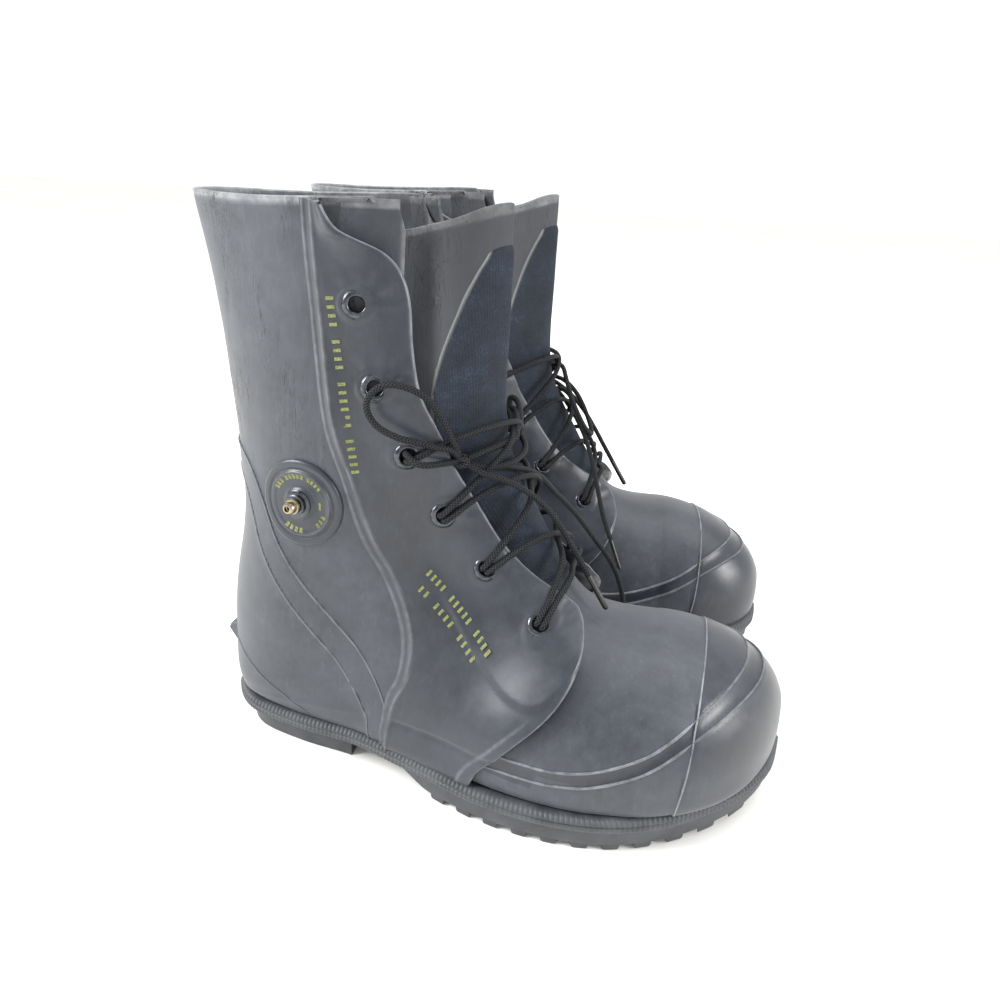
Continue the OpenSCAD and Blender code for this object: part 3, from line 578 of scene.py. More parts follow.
def upperRubber(rubberLook):
    # vulcanised black rubber: blue-black and satin, with bloom, scuffs, fine weather cracks, and pale ridges
    # and edges that are partly wear and partly a painted highlight
    tree = newMaterial(rubberLook["name"])
    place = addNode(tree, "TexCoord").outputs["Object"]
    broad = addNode(tree, "TexNoise", {"Scale": 22, "Detail": 4, "Roughness": 0.6}, Vector=place)
    mottle = addNode(tree, "TexNoise", {"Scale": 140, "Detail": 5, "Roughness": 0.65}, Vector=place)
    grain = addNode(tree, "TexNoise", {"Scale": 2600, "Detail": 2}, Vector=place)
    long = addNode(tree, "Mapping", {"Scale": (1, 1, 0.22)}, Vector=place)
    scuff = addNode(tree, "TexNoise", {"Scale": 420, "Detail": 6, "Roughness": 0.75, "Distortion": 0.6},
                    Vector=long)
    part = addNode(tree, "Math", {"operation": "MULTIPLY", "1": 0.4}, n0=mottle)
    mixed = addNode(tree, "Math", {"operation": "MULTIPLY_ADD", "1": 0.6}, n0=broad, n2=part)
    base = ramp(tree, mixed, [(0.30, rubberLook["deep"]), (0.50, rubberLook["main"]),
                              (0.72, rubberLook["pale"])])
    # the pale edge colour follows this value: worn edges and a painted highlight on ridges, edges and the rim
    wear = addNode(tree, "Attribute", {"attribute_name": "wear"}).outputs["Fac"]
    dark = addNode(tree, "Attribute", {"attribute_name": "dark"}).outputs["Fac"]
    crack = addNode(tree, "Attribute", {"attribute_name": "crack"}).outputs["Fac"]
    scuffed = addNode(tree, "MapRange", {"From Min": 0.54, "From Max": 0.8, "To Max": rubberLook["dust"]},
                      Value=scuff)
    dusty = addNode(tree, "MixRGB", {"2": linear(rubberLook["dusty"])}, Fac=scuffed, Color1=base)
    wearHighlightMottle = addNode(tree, "MapRange", {"From Min": 0.35, "From Max": 0.62, "To Min": 0.35}, Value=mottle)
    wearHighlightPatch = addNode(tree, "Math", {"operation": "MULTIPLY"}, n0=wear, n1=wearHighlightMottle)
    wornAndLit = addNode(tree, "MixRGB", {"2": linear(rubberLook["edge"])}, Fac=wearHighlightPatch, Color1=dusty)
    clouds = addNode(tree, "MapRange", {"From Min": 0.35, "From Max": 0.7, "To Min": 0.3, "To Max": 0.85},
                     Value=broad)
    darkPatch = addNode(tree, "Math", {"operation": "MULTIPLY"}, n0=dark, n1=clouds)
    shaded = addNode(tree, "MixRGB", {"2": linear(rubberLook["shade"])}, Fac=darkPatch, Color1=wornAndLit)
    stretch = addNode(tree, "Mapping", {"Rotation": (0, 0.35, 0), "Scale": (1, 1, 0.16)}, Vector=place)
    split = addNode(tree, "TexNoise", {"Scale": 420, "Detail": 3, "Roughness": 0.6, "Distortion": 0.4},
                    Vector=stretch)
    level = addNode(tree, "Math", {"operation": "SUBTRACT", "1": 0.5}, n0=split)
    ridged = addNode(tree, "Math", {"operation": "ABSOLUTE"}, n0=level)
    line = addNode(tree, "MapRange", {"From Max": 0.022, "To Min": 1, "To Max": 0}, Value=ridged)
    fields = addNode(tree, "TexNoise", {"Scale": 55, "Detail": 2}, Vector=long)
    where = addNode(tree, "MapRange", {"From Min": 0.44, "From Max": 0.56}, Value=fields)
    crackPatch = addNode(tree, "Math", {"operation": "MULTIPLY"}, n0=crack, n1=where)
    cracked = addNode(tree, "Math", {"operation": "MULTIPLY"}, n0=line, n1=crackPatch)
    final = addNode(tree, "MixRGB", {"2": linear("#101215")}, Fac=cracked, Color1=shaded)
    satin = {"From Min": 0.3, "From Max": 0.75, "To Min": rubberLook["smooth"], "To Max": rubberLook["dull"]}
    rough = addNode(tree, "MapRange", satin, Value=mixed)
    rough2 = addNode(tree, "Math", {"operation": "MULTIPLY_ADD", "1": 0.2}, n0=dark, n2=rough)
    lumps = addNode(tree, "Math", {"operation": "MULTIPLY", "1": 0.5}, n0=mottle)
    height = addNode(tree, "Math", {"operation": "MULTIPLY_ADD", "1": 0.16}, n0=grain, n2=lumps)
    bump = addNode(tree, "Bump", {"Strength": 0.35, "Distance": 0.0004}, Height=height)
    bump2 = addNode(tree, "Bump", {"Strength": 0.6, "Distance": 0.0005, "invert": True}, Height=cracked,
                    Normal=bump)
    shader(tree, {"Specular IOR Level": 0.5, "IOR": 1.52, "Sheen Weight": 0.12, "Sheen Roughness": 0.5},
           Base_Color=final, Roughness=rough2, Normal=bump2)
    return bpy.data.materials[rubberLook["name"]]


def plainFinish(name, low, high, scale, roughLow, roughHigh, bumpScale, bumpDepth, extra={}):
    # an uneven finish: two shades in soft patches over a fine grain
    tree = newMaterial(name)
    place = addNode(tree, "TexCoord").outputs["Object"]
    patch = addNode(tree, "TexNoise", {"Scale": scale, "Detail": 5, "Roughness": 0.6}, Vector=place)
    grain = addNode(tree, "TexNoise", {"Scale": bumpScale, "Detail": 3}, Vector=place)
    colour = ramp(tree, patch, [(0.32, low), (0.68, high)])
    rough = addNode(tree, "MapRange", {"From Min": 0.3, "From Max": 0.7, "To Min": roughLow,
                                       "To Max": roughHigh}, Value=patch)
    bump = addNode(tree, "Bump", {"Strength": 0.5, "Distance": bumpDepth}, Height=grain)
    shader(tree, extra, Base_Color=colour, Roughness=rough, Normal=bump)
    return bpy.data.materials[name]


def patchCloth():
    # rubberised cloth: a fine square weave that shows through a thin black coat
    tree = newMaterial("rubberisedCloth")
    place = addNode(tree, "TexCoord").outputs["Object"]
    threads = {"wave_type": "BANDS", "Scale": 330, "Distortion": 1.2, "Detail": 1}
    across, along = (addNode(tree, "TexWave", {**threads, "bands_direction": d}, Vector=place) for d in "ZY")
    weave = addNode(tree, "Math", {"operation": "MULTIPLY"}, n0=across, n1=along)
    patch = addNode(tree, "TexNoise", {"Scale": 60, "Detail": 5, "Roughness": 0.65}, Vector=place)
    speck = addNode(tree, "TexNoise", {"Scale": 900, "Detail": 3, "Roughness": 0.7}, Vector=place)
    fine = addNode(tree, "Math", {"operation": "MULTIPLY", "1": 0.45}, n0=speck)
    total = addNode(tree, "Math", {"operation": "MULTIPLY_ADD", "1": 0.55}, n0=patch, n2=fine)
    base = ramp(tree, total, [(0.38, "#0E131B"), (0.54, "#19222F"), (0.68, "#303A49")])
    # the patch's raised border is painted paler: partly wear, partly a painted highlight
    wear = addNode(tree, "Attribute", {"attribute_name": "wear"}).outputs["Fac"]
    wornAndLit = addNode(tree, "MixRGB", {"2": linear("#8C8D8A")}, Fac=wear, Color1=base)
    bump = addNode(tree, "Bump", {"Strength": 0.5, "Distance": 0.0003}, Height=weave)
    shader(tree, {"Roughness": 0.66, "Sheen Weight": 0.02, "Specular IOR Level": 0.25}, Base_Color=wornAndLit,
           Normal=bump)
    return bpy.data.materials["rubberisedCloth"]


def laceCord():
    # braided polyester cord: ribs of black yarn that cross as diamonds, with painted shade in the grooves and
    # a painted highlight on the rib tops
    tree = newMaterial("braidedPolyester")
    uv = addNode(tree, "UVMap")
    spread = addNode(tree, "SeparateXYZ", {}, Vector=uv)
    turns = addNode(tree, "Math", {"operation": "MULTIPLY", "1": 5.0}, n0=spread.outputs["X"])
    pitch = addNode(tree, "Math", {"operation": "MULTIPLY", "1": 0.62}, n0=spread.outputs["Y"])
    waves = []
    for sign in (1, -1):
        total = addNode(tree, "Math", {"operation": "MULTIPLY_ADD", "1": sign}, n0=turns, n2=pitch)
        angle = addNode(tree, "Math", {"operation": "MULTIPLY", "1": 2 * math.pi}, n0=total)
        waves.append(addNode(tree, "Math", {"operation": "SINE"}, n0=angle))
    diamond = addNode(tree, "Math", {"operation": "MAXIMUM"}, n0=waves[0], n1=waves[1])
    height = addNode(tree, "MapRange", {"From Min": -1, "From Max": 1}, Value=diamond)
    # the colour follows the braid's height: painted shade down in the grooves, painted highlight on the rib
    # tops
    colour = ramp(tree, height, [(0.2, "#040506"), (0.8, "#0F1113"), (1.0, "#2E3033")])
    bump = addNode(tree, "Bump", {"Strength": 0.9, "Distance": 0.0006}, Height=height)
    shader(tree, {"Roughness": 0.58, "Specular IOR Level": 0.2}, Base_Color=colour, Normal=bump)
    return bpy.data.materials["braidedPolyester"]


def printInk():
    # stamped ink, worn thin in places
    tree = newMaterial("stampedInk")
    place = addNode(tree, "TexCoord").outputs["Object"]
    spots = addNode(tree, "TexNoise", {"Scale": 1500, "Detail": 4, "Roughness": 0.7}, Vector=place)
    colour = ramp(tree, spots, [(0.36, "#3C4034"), (0.5, "#6E7440"), (0.7, "#858B52")])
    shader(tree, {"Roughness": 0.6}, Base_Color=colour)
    return bpy.data.materials["stampedInk"]


finishes = {
    "rubber": upperRubber(bodyLook),
    "gloss": upperRubber(glossLook),
    # moulded sole rubber: greyer and duller than the upper, from wear on the ground
    "sole": plainFinish("soleRubber", "#2E3136", "#484B4F", 60, 0.45, 0.62, 1800, 0.0003),
    "cloth": patchCloth(),
    # pressed wool felt: matt, with loose fibres that catch the light
    "felt": plainFinish("woolFelt", "#8E887A", "#B8B1A2", 300, 0.9, 0.98, 2500, 0.0008,
                        {"Sheen Weight": 0.3}),
    "lining": plainFinish("liningRubber", "#20242B", "#343941", 70, 0.6, 0.75, 1500, 0.0003),
    "insole": plainFinish("pressedFelt", "#4A4438", "#6A6250", 200, 0.88, 0.97, 2500, 0.0006,
                          {"Sheen Weight": 0.25}),
    # bare rolled steel, and brass: blackened on the grommets, dulled by handling on the valve
    "steel": plainFinish("rolledSteel", "#7F8184", "#A5A7A9", 90, 0.3, 0.45, 900, 0.0001, {"Metallic": 1.0}),
    "eyelet": plainFinish("blackenedBrass", "#2A2C30", "#5C6066", 260, 0.16, 0.3, 1500, 0.00008,
                          {"Metallic": 0.9}),
    "brass": plainFinish("dulledBrass", "#7A7262", "#A89C82", 240, 0.22, 0.38, 1200, 0.0001,
                         {"Metallic": 1.0}),
    "lace": laceCord(),
    "tip": plainFinish("cordTipPlastic", "#0B0B0C", "#1B1B1C", 200, 0.25, 0.4, 800, 0.00005),
    "ink": printInk(),
}


def paint(piece, finish):
    piece.data.materials.clear()
    piece.data.materials.append(finishes[finish])
    return piece


print("materials made")


# the free part starts and ends at the knot; the same points as the CAD's cord solids
laceRadius = boot["lace"] / 2
knotAt = [137, -27, 174]
outerLoop = [knotAt, [134, -34, 181], [129, -39, 183], [121, -44, 186], [113, -49, 189], [104, -51, 194],
             [100, -52, 202], [103, -53, 209], [109, -52, 213], [117, -49, 212], [125, -45, 207],
             [130, -40, 198],
             [134, -36, 188], knotAt]
innerLoop = [knotAt, [146, -22, 178], [155, -10, 181], [158, 3, 186], [154, 16, 193], [148, 26, 192],
             [148, 29, 184], [154, 20, 178], [161, 6, 173], [158, -8, 170], [148, -20, 170], knotAt]
innerTail = [knotAt, [146, -22, 170], [157, -10, 168], [168, 6, 160], [175, 22, 146], [185, 38, 129],
             [196, 50, 110], [206, 57, 94], [213, 61, 78], [217, 63, 60], [219, 64, 40], [221, 65, 20],
             [225, 66, 7], [232, 66, 1.6], [242, 66, 1.6], [254, 67, 1.6], [266, 70, 1.6]]
outerTail = [knotAt, [147, -26, 169], [158, -22, 165], [169, -17, 158], [178, -13, 149], [186, -11, 138],
             [193, -10, 127], [200, -10, 116]]
leftOuterLoop = [knotAt, [136, -35, 178], [132, -41, 176], [128, -47, 168], [128, -52, 156], [132, -55, 144],
                 [139, -55, 138], [146, -51, 143], [147, -45, 153], [144, -38, 163], [141, -32, 170], knotAt]
leftInnerLoop = [knotAt, [147, -22, 178], [157, -9, 181], [161, 5, 182], [164, 16, 176], [170, 22, 162],
                 [178, 22, 148], [183, 15, 142], [180, 6, 150], [172, -2, 163], [162, -12, 170],
                 [149, -22, 171], knotAt]
leftInnerTail = [knotAt, [147, -22, 167], [158, -10, 163], [168, 4, 155], [177, 18, 144], [184, 32, 130],
                 [189, 42, 114], [194, 49, 98], [200, 54, 84]]
padThick = boot["facingWall"] + 1.2


def eyeletPlace(k, side):
    x, z = placed(*eyelets[k])
    h = lift(x, z) + boot["facingWall"] / 2
    return sidePoint(x, z, side, h)[0], sideNormal(x, z, side)[0]


def eyeletStep(k, side):
    n = eyeletPlace(k, side)[1]
    ax, az = placed(*eyelets[max(0, k - 1)])
    bx, bz = placed(*eyelets[min(5, k + 1)])
    v = np.array([ax - bx, 0, az - bz])
    v = v - n * (v @ n)
    return v / np.linalg.norm(v)


def boreEnd(k, side, s):
    p, n = eyeletPlace(k, side)
    aside = eyeletStep(k, side) * s * (laceRadius + 0.12)
    return [p + aside + n * h for h in (-padThick / 2 - 0.6, padThick / 2 + 3.4)]


def eyeletTurn(k, side):
    u, t = turnOf(*placed(*eyelets[k]))
    return u[0], t[0] if side > 0 else 360 - t[0]


def strandHeight(f, over):
    # a crossing comes off one facing's edge, lies on the patch and climbs the other edge
    g = min(f, 1 - f)
    edge = boot["facingLift"] + boot["facingWall"] + boot["lace"] * 0.75
    if g < 0.24:
        x, z = placed(*eyelets[4])
        return mix(lift(x, z) + boot["facingWall"] + boot["lace"], edge, smooth(g / 0.16))
    return mix(edge, boot["patchWall"] + boot["lace"] * 0.85 + over, smooth((g - 0.24) / 0.26))


def strand(k0, m0, s0, k1, m1, s1, over):
    # one crossing, from eyelet k0 on side m0 to eyelet k1 on side m1
    u0, a0 = eyeletTurn(k0, m0)
    u1, a1 = eyeletTurn(k1, m1)
    middle = [skinPoint(mix(u0, u1, f), mix(a0, a1, f), -strandHeight(f, over))
              for f in (0.12, 0.26, 0.5, 0.74, 0.88)]
    return np.array(boreEnd(k0, m0, s0) + middle + boreEnd(k1, m1, s1)[::-1])


def knotStrand(side):
    a = boreEnd(2, side, 1)
    if side > 0:
        return np.array(a + [[124, -45, 176], knotAt])
    u0, a0 = eyeletTurn(2, side)
    middle = [skinPoint(mix(u0, 8, f), mix(a0, 156, f), -strandHeight(f * 0.72, boot["lace"] * 0.8))
              for f in (0.14, 0.28, 0.44, 0.6, 0.76, 0.88)]
    return np.array(a + middle + [knotAt])


def laceStrands():
    routes = [strand(5, 1, -1, 5, -1, -1, 0)]
    for k in (5, 4, 3):
        routes.append(strand(k, 1, 1, k - 1, -1, -1, 0))
        routes.append(strand(k, -1, 1, k - 1, 1, -1, boot["lace"] + 0.4))
    routes += [knotStrand(1), knotStrand(-1)]
    return joined("laceStrands", [tube("strand", smoothPath(r, 9), laceRadius) for r in routes])


def knotPiece():
    # two turns of cord pulled tight round each other
    turns = []
    for lean, size in ((0.5, 3.1), (-0.6, 2.7), (1.6, 2.3)):
        t = np.linspace(0, 2 * math.pi, 40)
        ring = np.stack([np.cos(t) * size, np.sin(t) * size * math.cos(lean),
                         np.sin(t) * size * math.sin(lean)], 1)
        turns.append(tube("turn", ring + knotAt, laceRadius * 0.98, caps=False))
    return joined("laceKnot", turns)


def tipPiece(path):
    # the pressed plastic tip that goes on from a tail's end
    p = np.asarray(path, float)
    t = (p[-1] - p[-2]) / np.linalg.norm(p[-1] - p[-2])
    steps = np.array([0, 0.6, 1.2, 6, 12, 18.4, 19.4, 20])
    radii = np.array([1.45, 1.6, 1.55, 1.5, 1.5, 1.5, 1.3, 0.7])
    return tube("tip", p[-1] + np.outer(steps, t), radii, sides=20)


made["lace"] = paint(laceStrands(), "lace")
made["knot"] = paint(knotPiece(), "lace")
cordRoutes = {"right": {"loopOuter": outerLoop, "loopInner": innerLoop,
                        "tailInner": innerTail, "tailOuter": outerTail},
              "left": {"loopOuter": leftOuterLoop, "loopInner": leftInnerLoop,
                       "tailInner": leftInnerTail, "tailOuter": outerTail}}
print("laces made")


skinLook = {"rings": 330, "around": 190, "lump": 0.45, "capStep": 0.7, "stayStep": 0.6, "rimDip": 13.0}


def skinRelief(x, y, z):
    # height of the moulded lines over the smooth boot, and how much paler the rubber is made low above the
    # welt
    height = np.zeros_like(x)
    wear = np.zeros_like(x)
    ahead = smooth((x - lineX(seatLine, z)) / 4)
    for below, tall in ((0, 1.0), (ridgeGap, 0.8)):
        v = z - (lineZ(ridgeLine, x) - below)
        height += 0.35 * tall * np.exp(-(v / 2.2) ** 2) * ahead
    v = z - (lineZ(ridgeLine, x) - ridgeGap / 2)
    height -= 0.7 * smooth((4.6 - np.abs(v)) / 2.4) * ahead
    v = x - lineX(capLine, z)
    height += skinLook["capStep"] * smooth((v + 0.8) / 1.4)
    sx = smooth((130 - x) / 10)
    top, low = lineX(stayTop, z), lineX(stayLow, z)
    inside = smooth((top - x) / 1.6 + 0.5) * smooth((x - low) / 1.6 + 0.5)
    height += skinLook["stayStep"] * inside * sx
    for edge in (top, low):
        height += 0.2 * np.exp(-((x - edge) / 2.0) ** 2) * sx
    # crease at the welt and a faint moulded line low on the heel
    height += 0.6 * np.exp(-((z - spring(x) - 24 - 0.12 * x) / 1.6) ** 2) * smooth((95 - x) / 15)
    wear += 0.25 * smooth((spring(x) + 24 - z) / 5)
    return height, clamp01(wear)


def rimDrop(x):
    # how far the rim lies below full height: lowest just ahead of the collar flap
    return skinLook["rimDip"] * smooth((x - 97) / 6) * clamp01((152 - x) / 44) + 0.8 * np.sin(x / 21)


def rimShape(points):
    # the rim dips beside each facing and the gusset folds in a soft pleat
    x, z = points[..., 0], points[..., 2]
    points[..., 2] = z - rimDrop(x) * smooth((z - 215) / 65) * smooth(np.abs(points[..., 1]) / 18)
    return pleatShape(points)


def pleatShape(points):
    x, y, z = points[..., 0], points[..., 1], points[..., 2]
    high = smooth((z - 215) / 65)
    side = np.sign(y)
    w = np.abs(y) / 36
    pleat = np.exp(-(np.abs(x - 122 + 0.05 * (z - 250)) / 4.2) ** 1.3) * smooth((z - 165) / 50)
    points[...,
           1] = y + side * 3.0 * pleat - side * 2.2 * np.exp(-((x - 110) / 7) ** 2) * smooth((z - 180) / 50)
    points[..., 1] += 1.6 * high * np.sin(x / 15.0 + np.where(side > 0, 1.3, 0)) * smooth(w * 2)
    return points


def reliefPoint(u, a):
    # the outer skin with its moulded lines and soft lumps
    p = skinPoint(u, a)
    e = 0.4
    du = skinPoint(np.minimum(u + 0.02, topU), a) - skinPoint(np.maximum(u - 0.02, -1), a)
    da = skinPoint(u, a + e) - skinPoint(u, a - e)
    n = np.cross(du, da)
    size = np.linalg.norm(n, axis=-1, keepdims=True)
    n = n / np.maximum(size, 1e-9)
    centre = (p.max(1, keepdims=True) + p.min(1, keepdims=True)) / 2
    flip = np.sign((n * (p - centre)).sum(-1, keepdims=True))
    n = n * np.where(flip == 0, 1, flip)
    n[size[..., 0] < 1e-6] = 0
    h = skinRelief(p[..., 0], p[..., 1], p[..., 2])[0]
    h = h + skinLook["lump"] * fbm(p, 34, 3.1) + 0.12 * fbm(p, 11, 8.7)
    p = p + n * h[..., None] * smooth((p[..., 2:3] - 17.5) / 2)
    p[:, -1] = p[:, 0]
    return rimShape(p)


def skinSurface(rings, around, d=0.0, relief=True):
    toe = np.linspace(-1, 0, int(rings * 0.17))[:-1]
    body = np.linspace(0, topU, rings - len(toe))
    u, a = np.meshgrid(np.concatenate([toe, body]), np.linspace(0, 360, around + 1), indexing="ij")
    return reliefPoint(u, a) if relief else rimShape(skinPoint(u, a, d))


def makeSkin():
    outer = skinSurface(skinLook["rings"], skinLook["around"])
    inner = skinSurface(skinLook["rings"] // 2, skinLook["around"] // 2, boot["rubber"], relief=False)
    # the sheet runs up the outside, over the rounded rim and down the inside
    many, few = (np.linspace(0, 1, n) for n in (outer.shape[1], inner.shape[1]))
    wide = np.stack([np.stack([np.interp(many, few, r[:, k]) for k in range(3)], 1) for r in inner])
    lip = [mix(outer[-1], wide[-1], f) + [0, 0, 0.7 * math.sin(math.pi * f)] for f in (0.25, 0.5, 0.75)]
    points = np.concatenate([outer, np.array(lip), wide[::-1]])
    skin = gridPiece("skin", points)
    mergeDoubles(skin)
    return skin


def tintUpper(piece):
    # ridges and rim made pale, partly by wear and partly as a painted highlight, a darker gusset, and cracks
    # in the gusset and the back of the shaft
    x, y, z = pointsOf(piece).T
    _, wear = skinRelief(x, y, z)
    rim = smooth((z - lineRim(x)) / 1.6)
    ahead = smooth((x - lineX(frontLine, z) + 6) / 5) * smooth((z - lineZ(throatLine, x)) / 4)
    crack = np.maximum(smooth((115 - x) / 30) * smooth((z - 150) / 40), 0.85 * ahead * smooth((z - 150) / 30))
    tint(piece, clamp01(wear + 0.9 * rim), ahead * smooth((z - 95) / 20) * smooth((225 - x) / 10), crack)


def lineRim(x):
    return boot["height"] - 1.2 - rimDrop(x) - 0.012 * (150 - x)


contourGrid = []


def contour(field, keep):
    # lines on the skin where a value made from each point is zero
    if not contourGrid:
        u = np.concatenate([np.linspace(-1, 0, 80)[:-1], np.linspace(0, topU, 420)])
        u, a = np.meshgrid(u, np.linspace(0, 360, 241), indexing="ij")
        contourGrid.extend([skinPoint(u, a), reliefPoint(u, a)])
    flat, p = contourGrid
    f = field(flat[..., 0], flat[..., 1], flat[..., 2])
    ok = keep(flat[..., 0], flat[..., 1], flat[..., 2])
    crossing, links = {}, {}

    def cross(i, j, di, dj):
        key = (i, j, di)
        f0, f1 = f[i, j], f[i + di, j + dj]
        if (f0 > 0) == (f1 > 0):
            return None
        if key not in crossing:
            crossing[key] = p[i, j] + (p[i + di, j + dj] - p[i, j]) * f0 / (f0 - f1)
        return key

    sign = f > 0
    a, b, c, d = sign[:-1, :-1], sign[1:, :-1], sign[:-1, 1:], sign[1:, 1:]
    busy = (a != b) | (a != c) | (d != b) | (d != c)
    for i, j in zip(*np.nonzero(busy & ok[:-1, :-1])):
        ends = [k for k in (cross(i, j, 1, 0), cross(i, j, 0, 1), cross(i, j + 1, 1, 0),
                            cross(i + 1, j, 0, 1)) if k]
        if len(ends) == 2:
            links.setdefault(ends[0], []).append(ends[1])
            links.setdefault(ends[1], []).append(ends[0])
    lines = []
    while links:
        start = next((k for k, v in links.items() if len(v) == 1), next(iter(links)))
        line, at = [start], start
        while True:
            following = [k for k in links.pop(at, []) if k in links]
            if not following:
                break
            at = following[0]
            line.append(at)
        if len(line) > 12:
            lines.append(np.array([crossing[k] for k in line]))
    return lines


def evened(line, step):
    # the same line with evenly spaced, softened points
    for _ in range(6):
        line[1:-1] = (line[:-2] + 2 * line[1:-1] + line[2:]) / 4
    run = runOf(line)
    at = np.linspace(0, run[-1], max(6, int(run[-1] / step)))
    return np.stack([np.interp(at, run, line[:, k]) for k in range(3)], 1)


def beads(key, field, keep, radius, wear):
    # thin raised lines of rubber, added to the piece that carries them
    strips = []
    for line in contour(field, keep):
        path = evened(line, 1.6)
        if len(path) < 8:
            continue
        ends = np.minimum(np.arange(len(path)), np.arange(len(path))[::-1]) / 4
        uneven = 1 + 0.18 * np.array([noise.noise(Vector(q / 5)) for q in path])
        strip = tube("bead", path, radius * uneven * np.clip(0.35 + ends, 0.35, 1), sides=8)
        # each line is painted pale: a painted highlight along the raised line, partly wear
        tint(strip, wear)
        strips.append(paint(strip, "rubber"))
    made[key] = joined(made[key].name, [made[key]] + strips)


def regionOf(p):
    # which sheet of the upper each place on the skin belongs to
    x, y, z = p.T
    ahead = x > lineX(seatLine, z)
    cap = x > lineX(capLine, z)
    above = z > lineZ(throatLine, x)
    ridgeZ = lineZ(ridgeLine, x)
    low, stay = x < lineX(stayLow, z), x < lineX(stayTop, z)
    toe = np.where(z < ridgeZ - ridgeGap, "foxing", np.where(z < ridgeZ, "ridge_band", "vamp"))
    front = np.where(above, "gusset", toe)
    walls = np.where(y < 0, "outer_quarter", "inner_quarter")
    rear = np.where(low, "heel_counter", np.where(stay, "counter_stay", walls))
    return np.where(cap, "toe_cap", np.where(ahead, front, rear))


def faceCentres(piece):
    centre = np.empty(len(piece.data.polygons) * 3)
    piece.data.polygons.foreach_get("center", centre)
    return centre.reshape(-1, 3) / mm


def partWhere(piece, keep, name):
    # a copy of the skin with only the chosen faces left
    part = copied(piece, name)
    choose(part)
    bpy.ops.object.mode_set(mode="EDIT")
    bpy.ops.mesh.select_mode(type="FACE")
    bpy.ops.mesh.select_all(action="DESELECT")
    bpy.ops.object.mode_set(mode="OBJECT")
    part.data.polygons.foreach_set("select", ~keep)
    bpy.ops.object.mode_set(mode="EDIT")
    bpy.ops.mesh.delete(type="FACE")
    bpy.ops.object.mode_set(mode="OBJECT")
    return part


skin = makeSkin()
region = regionOf(faceCentres(skin))
for key in ("toe_cap", "gusset", "foxing", "ridge_band", "vamp", "heel_counter", "counter_stay",
            "outer_quarter", "inner_quarter"):
    made[key] = partWhere(skin, region == key, key)
    tintUpper(made[key])
    smoothFaces(made[key], 45)
    paint(made[key], "rubber")
drop(skin)
print("skin split")


def aboveRidge(x, y, z):
    return z - lineZ(ridgeLine, x)


def belowRidge(x, y, z):
    return aboveRidge(x, y, z) + ridgeGap


def onVamp(x, y, z):
    return (x > lineX(seatLine, z)) & (x < lineX(capLine, z))


def onCap(x, y, z):
    return x > lineX(capLine, z)


# piece, line, where it shows, radius in mm and how pale it is painted, from wear and a painted highlight
for bead in (("toe_cap", lambda x, y, z: x - lineX(capLine, z) - 0.5, lambda x, y, z: x > 0, 0.45, 0.9),
             ("ridge_band", aboveRidge, onVamp, 0.75, 0.75),
             ("foxing", belowRidge, onVamp, 0.7, 0.6),
             ("toe_cap", aboveRidge, onCap, 0.6, 0.4),
             ("toe_cap", belowRidge, onCap, 0.6, 0.4),
             ("counter_stay", lambda x, y, z: x - lineX(stayTop, z), lambda x, y, z: (x < 120) & (z < 178),
              0.6, 0.35),
             ("counter_stay", lambda x, y, z: x - lineX(stayLow, z), lambda x, y, z: (x < 110) & (z < 165),
              0.6, 0.35),
             ("heel_counter", lambda x, y, z: z - 62 + 0.62 * x, lambda x, y, z: (x < 62) & (z > 22), 0.5,
              0.15)):
    beads(*bead)
print("beads made")


def collarFlap(side):
    # the shaft wall's free corner, standing behind the facing's top
    s = np.linspace(0, 1, 40)
    t = np.linspace(0, 1, 30)
    x = mix(70, 108.5, s)[None, :] * np.ones((30, 1))
    z = mix(252, 288, t)[:, None] * np.ones((1, 40))
    corner = smooth((x - 103) / 6) * smooth((z - 272) / 12)
    x = x - 2.5 * corner
    u, a = turnOf(x.ravel(), z.ravel())
    h = 0.25 + 1.0 * smooth((x - 71) / 4) + 0.8 * smooth((x - 96) / 12)
    p = skinPoint(u.reshape(x.shape), (a if side > 0 else 360 - a).reshape(x.shape), -h)
    p[..., 2] -= 0.8 * np.sin(x / 21) * smooth((z - 215) / 65)
    piece = gridPiece("flap", p)
    outwards(piece, (80, 0, 260))
    thicken(piece, 2.0)
    qx, _, qz = pointsOf(piece).T
    # the flap's top and front edges are painted pale: wear and a painted highlight
    tint(piece, 0.8 * smooth((qz - 282.5) / 1.5) + 0.5 * smooth((qx - 107) / 1.5),
         0.8 * smooth((qx - 84) / 14) * smooth((qz - 262) / 10), 0.4)
    bevelEdges(piece, 0.4, 2, 50)
    smoothFaces(piece, 45)
    paint(piece, "rubber")
    key = "outer_quarter" if side > 0 else "inner_quarter"
    made[key] = joined(made[key].name, [made[key], piece])


collarFlap(1)
collarFlap(-1)


